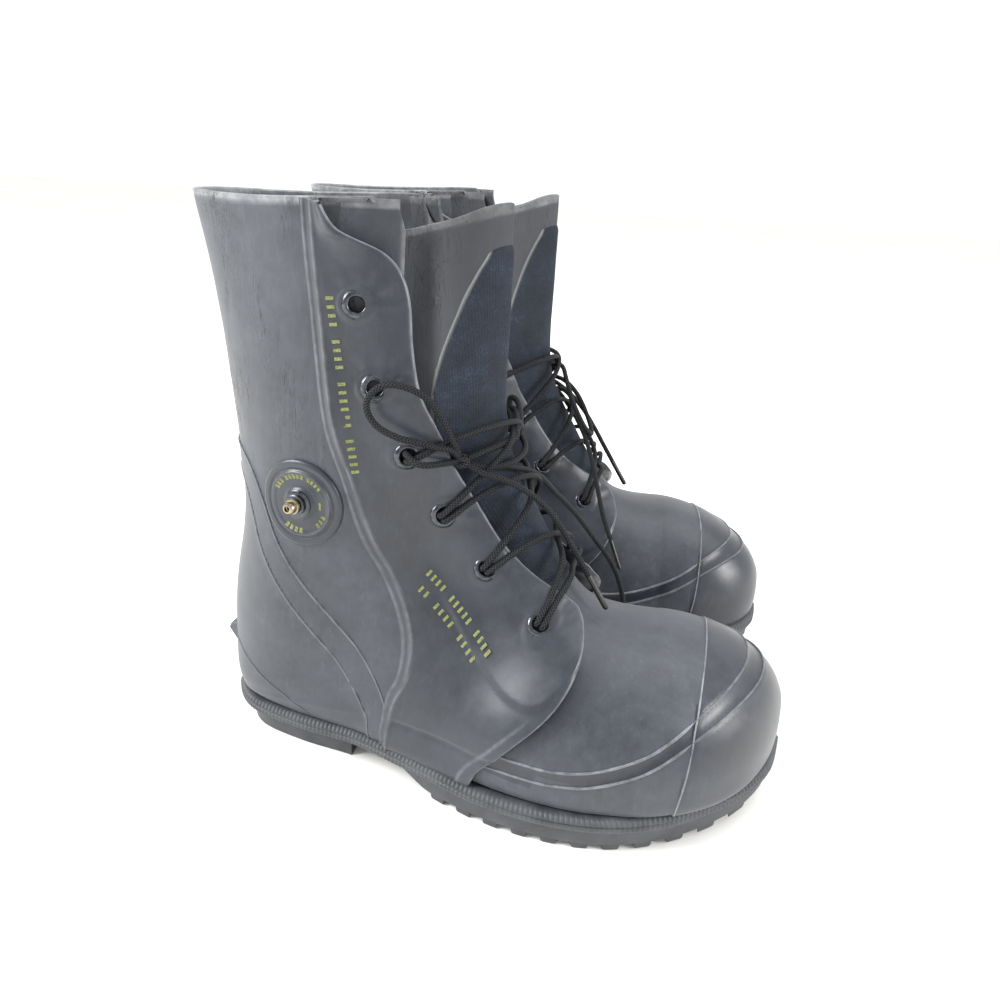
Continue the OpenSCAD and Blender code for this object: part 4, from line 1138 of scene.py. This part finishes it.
def gussetPatch():
    # a cloth patch laid over the gusset's front fold, out to the drawn line on both sides
    us = np.linspace(3.4, 13.3, 170)
    turns = np.linspace(90, 180, 400)
    edge = []
    for u in us:
        p = skinPoint(np.full(400, u), turns)
        gap = p[:, 0] - lineX(patchLine, p[:, 2])
        above = p[:, 2] - lineZ(throatLine, p[:, 0])
        ok = (gap > 0) & (above > 0.5)
        edge.append(turns[np.argmax(ok)] if ok.any() else 180)
    edge = np.array(edge)
    keep = edge < 179.2
    us, edge = us[keep], edge[keep]
    edge = np.convolve(np.pad(edge, 3, mode="edge"), np.ones(7) / 7, mode="valid")
    across = np.linspace(-1, 1, 90)
    u2, a2 = np.repeat(us[:, None], len(across), 1), 180 + across[None, :] * (180 - edge[:, None])
    flat = skinPoint(u2, a2)
    border = (1 - np.abs(across))[None, :] * np.linalg.norm(flat[:, 0] - flat[:, -1], axis=1)[:, None]
    rise = boot["patchWall"] * smooth(border / 3) ** 0.5
    ends = smooth(np.minimum(np.arange(len(us)), np.arange(len(us))[::-1]) / 2.0)[:, None] ** 0.5
    outer = rimShape(skinPoint(u2, a2, -(rise * ends) + 0.25))
    outer += 0.25 * fbm(outer, 16, 5.5)[..., None] * [1, 0.3, 0]
    piece = gridPiece("gussetPatch", outer)
    outwards(piece, (100, 0, 180))
    # the patch's raised border is painted pale: wear and a painted highlight
    setPointValue(piece, "wear", 0.75 * np.exp(-((border - 0.8) / 0.8) ** 2).ravel())
    thicken(piece, 1.0)
    smoothFaces(piece, 50)
    return paint(piece, "cloth")


made["gusset_patch"] = gussetPatch()


facingLook = {"rows": 240, "cols": 66, "edgeRound": 1.0, "backRidge": 0.75, "wrinkle": 0.32}


lobeLine = [[112, 132], [126, 112], [138, 97], [150, 83], [168, 70], [186, 67], [199, 76], [212, 92]]


def lobeRise(x, z):
    return 1.2 * smooth((z - lineZ(lobeLine, x)) / 3.2) * smooth((x - 128) / 14)


def facing(side):
    # one lifted flap: s runs from its back ridge to its free front edge, h is its height off the boot
    zs = np.concatenate([np.linspace(20.2, 60, 40), np.linspace(60, 286.5, facingLook["rows"] - 40)[1:]])
    s = 1 - (1 - np.linspace(0, 1, facingLook["cols"])) ** 1.15
    x0, x1 = lineX(backLine, zs), lineX(frontLine, zs)
    x1 = np.convolve(np.pad(x1, 3, mode="edge"), np.ones(7) / 7, mode="valid")
    x = mix(x0[:, None], x1[:, None], s[None, :])
    z = np.repeat(zs[:, None], len(s), 1)
    width = (x1 - x0)[:, None]
    back, front = s[None, :] * width, (1 - s[None, :]) * width
    ridges = np.exp(-((back - 1.6) / 1.1) ** 2) + 0.8 * np.exp(-((back - 6.2) / 1.2) ** 2)
    body = boot["facingWall"] * smooth(back / 7) + 0.25 + facingLook["backRidge"] * ridges
    rounding = smooth(front / 1.6)
    h = lift(x, z) + body - facingLook["edgeRound"] * (1 - np.sqrt(clamp01(1 - (1 - rounding) ** 2)))
    # second overlay edge low on the facing, and raised rings and creases round the eyelets
    second = x - (x1[:, None] - 7)
    low = smooth((68 - z) / 14)
    h += 0.5 * smooth(second / 1.6 + 0.5) * low
    # the overlay edge, the two back ridges and the front edge are painted pale: wear and a painted highlight
    wear = 0.3 * np.exp(-(second / 0.9) ** 2) * low
    wear = wear + 0.35 * (np.exp(-((back - 1.6) / 0.8) ** 2) + np.exp(-((back - 6.2) / 0.8) ** 2))
    wear = wear + 0.6 * np.exp(-(front / 0.9) ** 2)
    for k in range(6):
        ex, ez = placed(*eyelets[k])
        r = np.hypot(x - ex, z - ez)
        t = np.arctan2(z - ez, x - ex)
        pad = smooth((8.4 - r) / 1.2)
        h += 0.6 * pad
        fan = np.exp(-((r - 12) / 5) ** 2) * np.maximum(0, np.cos(t - (0.9 if k < 2 else 0.2)))
        h += facingLook["wrinkle"] * fan * np.cos(9 * t + k)
    # the moulded lobe under the lowest eyelet, and the crease where the foxing's edge lies below
    h += lobeRise(x, z)
    crease = z - lineZ(ridgeLine, x)
    fold = 0.5 * smooth(crease / 3 + 0.5) - 0.7 * np.exp(-((crease + 1) / 1.6) ** 2)
    h += fold * smooth((x - x0[:, None] - 3) / 6)
    u, a = turnOf(x.ravel(), z.ravel())
    u, a = u.reshape(x.shape), (a if side > 0 else 360 - a).reshape(x.shape)
    flat = skinPoint(u, a)
    h = h + 0.4 * fbm(flat, 30, 1.7 + side) + 0.14 * fbm(flat, 9, 4.4)
    piece = gridPiece("facing", facingRim(skinPoint(u, a, -h)))
    outwards(piece, (90, 0, 150))
    tint(piece, clamp01(wear).ravel())
    sheetPoints, sheetValues = pointsOf(piece), tintsOf(piece)
    thicken(piece, 2.2)
    for k in range(6):
        place, normal = eyeletPlace(k, side)
        bpy.ops.mesh.primitive_cylinder_add(vertices=28, radius=(boot["eyeletBore"] / 2 + 0.6) * mm,
                                            depth=0.03)
        hole = bpy.context.object
        standOn(hole, place, normal)
        cutAway(piece, hole)
    keepValues(piece, sheetPoints, sheetValues)
    smoothFaces(piece, 50)
    return paint(piece, "gloss")


def facingRim(p):
    # keeps the facing's top with the rim that it hangs from
    x, y, z = p[..., 0], p[..., 1], p[..., 2]
    high = smooth((z - 240) / 45)
    p[..., 2] = z - 2.5 * high * smooth((x - 66) / 20)
    p[..., 1] += 1.6 * high * np.sin(x / 15.0 + np.where(y > 0, 1.3, 0))
    return p


made["outer_facing"] = facing(1)
made["inner_facing"] = facing(-1)
for key in ("toe_cap", "ridge_band"):
    paint(made[key], "gloss")
print("facings made")


def eyeletSet():
    bore, flange = boot["eyeletBore"] / 2, boot["eyeletFlange"] / 2
    top = padThick / 2
    grommet = [(bore, -top), (bore, top + 0.1), (bore + 0.25, top + 0.9), (bore + 0.9, top + 1.35),
               (bore + 1.7, top + 1.3), (bore + 2.5, top + 0.8), (flange, top + 0.15), (flange, top),
               (bore + 0.55, top - 0.05), (bore + 0.55, -top), (bore, -top)]
    washer = [(bore, -top - 0.8), (bore, -top), (flange - 0.3, -top), (flange - 0.5, -top - 0.6),
              (bore + 0.5, -top - 0.8), (bore, -top - 0.8)]
    for key, profile, segments, sides in (("outer_eyelets", grommet, 36, (1,)),
                                          ("inner_eyelets", grommet, 36, (-1,)),
                                          ("eyelet_backs", washer, 32, (1, -1))):
        rings = [standOn(lathe("ring", profile, segments),
                         *eyeletPlace(k, side)) for side in sides for k in range(6)]
        made[key] = paint(joined(key, rings), "eyelet")
        smoothFaces(made[key], 50)


eyeletSet()


valve = {"rise": 2.6, "inside": (63, 20, 148)}


def valveHeight(r):
    # the disc's moulded section, as radius and height
    stops = [(0, 2.9), (6.2, 2.8), (7.2, 2.5), (8.0, 1.5), (9.5, 1.25), (13.5, 1.6), (15.2, 2.2),
             (16.0, 2.35), (16.7, 1.2),
             (17.3, 1.1), (18.4, 1.7), (20.4, 1.9), (21.3, 1.5), (21.8, 0.7), (22.0, -0.4)]
    return np.interp(r, *zip(*stops))


def valvePoint(r, t, h):
    vx, vz = placed(*valveAt)
    x, z = vx + r * np.cos(t), vz + r * np.sin(t)
    return sidePoint(x.ravel(), z.ravel(), 1, np.asarray(h).ravel()).reshape(x.shape + (3,))


def valveDisc():
    radii = np.concatenate([[5.4], np.linspace(5.6, 21.9, 54), [22.0]])
    r, t = np.meshgrid(radii, np.radians(np.linspace(0, 360, 97)), indexing="ij")
    piece = gridPiece("valveDisc", valvePoint(r, t, valveHeight(r)))
    mergeDoubles(piece)
    outwards(piece, valve["inside"])
    centre = valvePoint(np.array([0.0]), np.array([0.0]), [0])[0]
    out = np.linalg.norm(pointsOf(piece) - centre, axis=1)
    # the raised ring on the disc is painted a little paler: wear and a painted highlight
    tint(piece, 0.15 * np.exp(-((out - 16) / 0.7) ** 2))
    thicken(piece, 1.6)
    smoothFaces(piece, 50)
    return paint(piece, "gloss")


def dash(r0, r1, t0, t1):
    r, t = np.meshgrid(np.linspace(r0, r1, 6), np.radians(np.linspace(t0, t1, 8)), indexing="ij")
    piece = gridPiece("dash", valvePoint(r, t, valveHeight(r) + 0.12))
    outwards(piece, valve["inside"])
    thicken(piece, 0.1)
    return piece


def valveMarks():
    marks = [dash(12.6, 14.9, t, t + 6.5) for t in (38, 47, 56, 65, 80, 89, 98, 107, 116, 131, 140, 149)]
    marks += [dash(12.2, 14.6, t, t + 7) for t in (236, 247, 258, 269, 312, 323, 334)]
    marks += [dash(10.2, 11.3, 352, 372)]
    return paint(joined("valveMarks", marks), "ink")


def valveMetal():
    vx, vz = placed(*valveAt)
    place, normal = sidePoint(vx, vz, 1)[0], sideNormal(vx, vz, 1)[0]
    rise = valve["rise"]
    body = lathe("valveBody", [(1.2, -2.0), (1.2, rise), (3.05, rise), (3.05, rise + 3), (4.6, rise + 3),
                               (5.0, rise + 2.7),
                               (5.0, rise + 1.2), (6.6, rise + 1.0), (7.0, rise + 0.7), (7.0, rise + 0.1),
                               (5.5, rise), (5.5, -2.0), (1.2, -2.0)], 48)
    standOn(body, place, normal)
    stem = lathe("valveStem", [(1.0, rise), (1.0, rise + 7.4), (1.5, rise + 7.6), (1.5, rise + 8.9),
                               (2.2, rise + 8.95), (2.6, rise + 8.4),
                               (3.0, rise + 7.9), (3.0, rise + 5.2), (3.7, rise + 5.0), (3.8, rise + 4.6),
                               (3.8, rise + 3.7), (3.5, rise + 3.4),
                               (3.0, rise + 3.3), (3.0, rise), (1.0, rise)], 48)
    standOn(stem, place, normal)
    for p, finish in ((body, "eyelet"), (stem, "brass")):
        smoothFaces(p, 40)
        paint(p, finish)
    return body, stem


made["valve_disc"] = valveDisc()
made["valve_marks"] = valveMarks()
made["valve_body"], made["valve_stem"] = valveMetal()
print("valve made")


def sideDashes():
    # short strokes in rows where the boots carry stamped lines: generic, no letters
    marks = []
    # where a row starts and ends, its strokes and gaps, the way a stroke lies and its width
    rows = [((80, 246), (91, 168), 22, (4, 9, 16), (0.95, 0.12), 1.5),
            ((124, 116), (158, 84), 15, (4, 10), (0.62, 0.78), 1.4),
            ((121, 108), (151, 80), 12, (2, 7), (0.62, 0.78), 1.4)]

    def stroke(cx, cz, dx, dz, long, wide):
        d = np.array([dx, dz]) / math.hypot(dx, dz)
        n = np.array([-d[1], d[0]])
        a, b = np.meshgrid(np.linspace(-long / 2, long / 2, 5), np.linspace(-wide / 2, wide / 2, 5),
                           indexing="ij")
        x, z = cx + a * d[0] + b * n[0], cz + a * d[1] + b * n[1]
        back = x - lineX(backLine, z)
        h = lift(x, z) + boot["facingWall"] * smooth(back / 7) + 0.25 + 0.75 + lobeRise(x, z)
        piece = gridPiece("stroke", sidePoint(x.ravel(), z.ravel(), 1, h.ravel()).reshape(x.shape + (3,)))
        outwards(piece, (90, 0, 150))
        thicken(piece, 0.6)
        marks.append(piece)

    for (x0, z0), (x1, z1), count, gaps, (dx, dz), wide in rows:
        for i in range(count):
            if i not in gaps:
                f = i / (count - 1)
                stroke(mix(x0, x1, f), mix(z0, z1, f), dx, dz, 3.4, wide)
    return paint(joined("stampedRows", marks), "ink")


made["stamped_rows"] = sideDashes()


def planLine(rows, count):
    p = spline(rows, np.linspace(0, len(rows) - 1, count))
    return p * [lengthScale, widthScale]


def soleLow(x):
    # underside of the sole plate: over the heel block behind, over the lugs in front
    return mix(boot["heel"], boot["lug"], smooth((x - boot["heelLength"] - 26) / 26)) + spring(x)


lugs = {"count": 11, "first": 136, "pitch": 15, "long": 9, "inset": 1.2, "bevel": 1.1}


def outsole():
    # the sole plate, closed round each station along the foot, with cross lugs under the forefoot
    count = 300
    out, inn = planLine(outerPlan, count), planLine(innerPlan, count)
    rings = []
    for o, i in zip(out, inn):
        top, low = boot["soleTop"] - 0.4 + spring((o[0] + i[0]) / 2), soleLow((o[0] + i[0]) / 2)
        half = (i - o) / 2
        middle = (o + i) / 2
        span = max(1e-3, np.linalg.norm(half))
        shape = [(-1, 0.85), (-1, 0.5), (-1, 0.2), (-1 + 0.7 / span, 0),
                 *[(s, 0) for s in np.linspace(-0.85, 0.85, 9)],
                 (1 - 0.7 / span, 0), (1, 0.2), (1, 0.5), (1, 0.85), (1 - 0.6 / span, 1),
                 *[(s, 1) for s in np.linspace(0.85, -0.85, 9)], (-1 + 0.6 / span, 1)]
        ring = [[*(middle + half * max(-1, min(1, s))), mix(low, top, t)] for s, t in shape]
        rings.append(ring + [ring[0]])
    plate = gridPiece("outsole", np.array(rings))
    mergeDoubles(plate)
    pieces = [plate]
    for i in range(lugs["count"]):
        x0 = (lugs["first"] + i * lugs["pitch"]) * lengthScale
        x1 = x0 + lugs["long"]
        deselectAll()
        bpy.ops.mesh.primitive_cube_add(size=1)
        lug = bpy.context.object
        for v in lug.data.vertices:
            x = x0 if v.co.x < 0 else x1
            line = out if v.co.y < 0 else inn
            order = np.argsort(line[:, 0])
            y = np.interp(x, line[order, 0], line[order, 1]) + lugs["inset"] * (1 if v.co.y < 0 else -1)
            z = (0 if v.co.z < 0 else boot["lug"] + 1.5) + spring(x0 + 4)
            if v.co.z < 0:
                x += 0.6 if v.co.x < 0 else -0.6
            v.co = (x * mm, y * mm, z * mm)
        editAll(lug, faceOut)
        bevelEdges(lug, lugs["bevel"], 3)
        pieces.append(lug)
    piece = joined("outsole", pieces)
    smoothFaces(piece, 40)
    return paint(piece, "sole")


def heelBlock():
    # the raised heel: the sole's outline behind its front edge, drawn in by the inset
    out, inn = planLine(outerPlan, 400), planLine(innerPlan, 400)
    line = np.concatenate([out[out[:, 0] < boot["heelLength"]][::-1],
                           inn[inn[:, 0] < boot["heelLength"]][1:]])
    t = np.gradient(line, axis=0)
    t /= np.linalg.norm(t, axis=1, keepdims=True)
    n = np.stack([t[:, 1], -t[:, 0]], 1)
    centre = line.mean(0)
    n *= np.sign(((centre - line) * n).sum(1))[:, None]
    line = line + n * boot["heelInset"]
    line[:, 0] = np.minimum(line[:, 0], boot["heelLength"])
    piece = extruded([(x, y, 0) for x, y in line], (0, 0, boot["heel"]))
    bevelEdges(piece, 0.9, 3, 50)
    smoothFaces(piece, 40)
    return paint(piece, "sole")


welt = {"pitch": 2.4, "rib": 0.28, "perRib": 5}


def weltStrip():
    # a ribbed strip round the sole, its section swept along the outline
    out, inn = planLine(outerPlan, 900), planLine(innerPlan, 900)
    line = np.concatenate([out, inn[-2:0:-1]])
    step = np.linalg.norm(np.diff(np.concatenate([line, line[:1]]), axis=0), axis=1)
    place = np.concatenate([[0], np.cumsum(step)])
    total = place[-1]
    count = int(total / welt["pitch"]) * welt["perRib"]
    at = np.linspace(0, total, count + 1)
    closed = np.concatenate([line, line[:1]])
    p = np.stack([np.interp(at, place, closed[:, k]) for k in (0, 1)], 1)
    t = np.roll(p, -2, 0) - np.roll(p, 2, 0)
    t[0] = t[-1] = p[2] - p[-3]
    t /= np.linalg.norm(t, axis=1, keepdims=True)
    n = np.stack([t[:, 1], -t[:, 0]], 1)
    n *= np.sign(((p - [150, 0]) * n).sum(1).mean())
    top = boot["soleTop"] + spring(p[:, 0]) + 1.5
    rib = welt["rib"] * np.cos(2 * math.pi * np.arange(len(p)) / welt["perRib"])
    wave = 0.5 * np.array([noise.noise(Vector((q[0] / 30, q[1] / 30, 2.2))) for q in p])
    shape = [(-7, -0.5), (-2.5, 1.5), (0.2, 1.3), (1.6, 0.7), (2.7, -0.4), (3.0, -1.3), (2.5, -2.0),
             (2.2, -2.4), (2.9, -3.0), (3.0, -4.2), (2.6, -5.4), (1.4, -6.0), (-7, -6.0)]
    rows = []
    for k, (r, h) in enumerate(shape):
        ribbed = rib if 3 <= k <= 5 else (rib * 0.6 if 8 <= k <= 10 else 0)
        rr = r + ribbed + (wave if 1 < k < 12 else 0)
        rows.append(np.stack([p[:, 0] + n[:, 0] * rr, p[:, 1] + n[:, 1] * rr,
                              top + h + (ribbed if k < 5 else 0)], 1))
    rows.append(rows[0])
    piece = gridPiece("welt", np.array(rows).transpose(1, 0, 2))
    mergeDoubles(piece)
    smoothFaces(piece, 60)
    return paint(piece, "sole")


made["outsole"] = outsole()
made["heel_block"] = heelBlock()
made["welt"] = weltStrip()


def heelLedge():
    # the small ledge on the back of the heel
    x, z = placed(6, 54)
    outline = [(x + 12, z + 6), (x - 1.5, z + 3), (x - 3, z), (x + 2, z - 8), (x + 12, z - 8)]
    piece = prism(outline, -16, 16)
    bevelEdges(piece, 0.9, 3)
    tint(piece, 0.2)
    smoothFaces(piece, 40)
    return paint(piece, "rubber")


made["heel_ledge"] = heelLedge()
print("sole made")


def innerLayer(name, d0, d1, top, finish):
    # a closed layer between two depths, from the toe to the given height
    u = np.concatenate([np.linspace(-1, 0, 16)[:-1], np.linspace(0, topU, 90)])
    a = np.linspace(0, 360, 65)
    shells = []
    for d in (d0, d1):
        p = pleatShape(skinPoint(u[:, None], a[None, :], d))
        for j in range(p.shape[1]):
            # above the layer's top edge every ring is drawn in to that edge
            i = int(np.argmax((p[:, j, 2] > top) & (u > 8)))
            if i:
                f = (top - p[i - 1, j, 2]) / (p[i, j, 2] - p[i - 1, j, 2])
                p[i:, j] = p[i - 1, j] + (p[i, j] - p[i - 1, j]) * f
        shells.append(p)
    points = np.concatenate([shells[0], shells[1][::-1]])
    piece = gridPiece(name, points)
    editAll(piece, lambda: bpy.ops.mesh.remove_doubles(threshold=5e-5),
            lambda: bpy.ops.mesh.dissolve_degenerate(threshold=1e-5), faceOut)
    smoothFaces(piece, 45)
    return paint(piece, finish)


rimFelt = boot["height"] - boot["collar"]
made["felt"] = innerLayer("felt", boot["rubber"] + 0.1, boot["rubber"] + boot["felt"], rimFelt - 3, "felt")
made["lining"] = innerLayer("lining", boot["rubber"] + boot["felt"] + 0.1,
                            boot["rubber"] + boot["felt"] + boot["lining"], rimFelt, "lining")


def collarRing():
    # the lining turns out over the felt's top edge
    a = np.linspace(0, 360, 121)
    us = np.full(121, 12.6)
    rows = []
    for d, dz in ((4.2, -3), (4.2, 0.6), (5.0, 1.6), (7.0, 1.4), (9.6, 0.2), (10.0, -3)):
        p = skinPoint(us, a, d)
        q = skinPoint(us + 0.5, a, d)
        f = (rimFelt + dz - p[:, 2]) / (q[:, 2] - p[:, 2])
        rows.append(p + (q - p) * f[:, None])
    rows = list(pleatShape(np.array(rows)))
    piece = gridPiece("collarRing", np.array(rows + rows[:1]))
    mergeDoubles(piece)
    smoothFaces(piece, 60)
    return paint(piece, "lining")


made["collar_ring"] = collarRing()


insoleLook = {"above": 11, "thick": 3.6, "heelAt": 22, "long": 0.72, "wide": 0.74}


def insole():
    # the loose felt sole inside, narrower and shorter than the sole plate
    lowest = boot["soleTop"] + insoleLook["above"]
    out, inn = planLine(outerPlan, 120), planLine(innerPlan, 120)
    rings = []
    for o, i in zip(out, inn):
        c = (o + i) / 2
        c[0] = insoleLook["heelAt"] + (c[0] - 7) * insoleLook["long"]
        half = (i - o) / 2 * insoleLook["wide"]
        shape = [(-1, 0.5), (-0.97, 0), *[(s, 0) for s in np.linspace(-0.9, 0.9, 7)], (0.97, 0), (1, 0.5),
                 (0.97, 1), *[(s, 1) for s in np.linspace(0.9, -0.9, 7)], (-0.97, 1)]
        ring = [[*(c + half * s), lowest + insoleLook["thick"] * t] for s, t in shape]
        rings.append(ring + [ring[0]])
    piece = gridPiece("insole", np.array(rings))
    mergeDoubles(piece)
    smoothFaces(piece, 45)
    return paint(piece, "insole")


made["insole"] = insole()


shankLook = {"start": 56, "end": 144, "low": 16, "high": 17.6, "half": 9}


def shank():
    # the steel stiffener under the arch
    x0, x1 = shankLook["start"] * lengthScale, shankLook["end"] * lengthScale
    low, high, half = shankLook["low"], shankLook["high"], shankLook["half"]
    piece = prism([(x0, low), (x1, low), (x1, high), (x0, high)], -half, half)
    bevelEdges(piece, 0.4, 2)
    smoothFaces(piece, 40)
    return paint(piece, "steel")


made["shank"] = shank()
print("inside made")


stands = {"collar_ring": [], "valve_marks": [], "stamped_rows": [],
          "knot": []}  # pieces with no node of their own


def settle(piece, side, key, body):
    # a piece drawn in the boot's own frame goes to its boot and rides with it
    piece.data.transform(bootMatrix(side))
    if side == "left":
        piece.data.flip_normals()
    piece.name = piece.data.name = side + key[0].upper() + key[1:]
    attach(piece, f"{side}_{body}")
    return piece


def place(piece, side, key):
    first, *rest = key.split("_")
    settle(piece, side, first + "".join(w.capitalize() for w in rest),
           "stem" if key == "valve_stem" else "boot")
    nodes = stands.get(key, [key])
    if nodes:
        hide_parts(*[f"{side}_{n}" for n in nodes])


for key, piece in list(made.items()):
    place(copied(piece, "left_" + key), "left", key)
    place(piece, "right", key)


def addCords(side):
    routes = cordRoutes[side]
    tips = {key: settle(paint(tipPiece(routes[key]), "tip"), side, key + "Tip", "boot")
            for key in ("tailInner", "tailOuter")}
    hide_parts(f"{side}_lace_tips")
    for key, route in routes.items():
        path = smoothPath(route, 8)
        cord = settle(paint(tube("cord", path, laceRadius), "lace"), side, key, "boot")
        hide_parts(f"{side}_lace_bow")


addCords("right")
addCords("left")
print("both boots placed")


studio = {"floor": "#FAF9F5", "worldStrength": 1.1, "key": 52, "fill": 8, "rim": 22}


def makeStudio():
    deselectAll()
    bpy.ops.mesh.primitive_plane_add(size=12)
    floor = bpy.context.object
    floor.name = floor.data.name = "studioFloor"
    tree = newMaterial("palePaper")
    spot = addNode(tree, "TexCoord").outputs["Object"]
    soft = addNode(tree, "TexNoise", {"Scale": 3, "Detail": 3}, Vector=spot)
    colour = ramp(tree, soft, [(0.3, "#F1F0EC"), (0.7, studio["floor"])])
    shader(tree, {"Roughness": 0.9, "Specular IOR Level": 0.1}, Base_Color=colour)
    floor.data.materials.append(bpy.data.materials["palePaper"])
    world = bpy.data.worlds.new("softRoom")
    bpy.context.scene.world = world
    world.use_nodes = True
    sky = world.node_tree.nodes["Background"].inputs
    sky["Color"].default_value = (1, 1, 1, 1)
    sky["Strength"].default_value = studio["worldStrength"]
    lights = [("keyLight", (-1.5, -0.7, 1.1), 0.9, studio["key"]),
              ("topLight", (0.5, 0.3, 1.9), 1.6, studio["fill"] * 2),
              ("sideLight", (1.6, -0.35, 0.7), 0.7, studio["rim"])]
    for name, at, size, power in lights:
        data = bpy.data.lights.new(name, "AREA")
        data.shape, data.size, data.energy = "DISK", size, power
        lamp = bpy.data.objects.new(name, data)
        bpy.context.scene.collection.objects.link(lamp)
        lamp.location = at
        lamp.rotation_euler = (Vector((0, -0.02, 0.12)) - Vector(at)).to_track_quat("-Z", "Y").to_euler()


makeStudio()
bpy.context.scene.view_settings.view_transform = "Standard"
print("studio made")
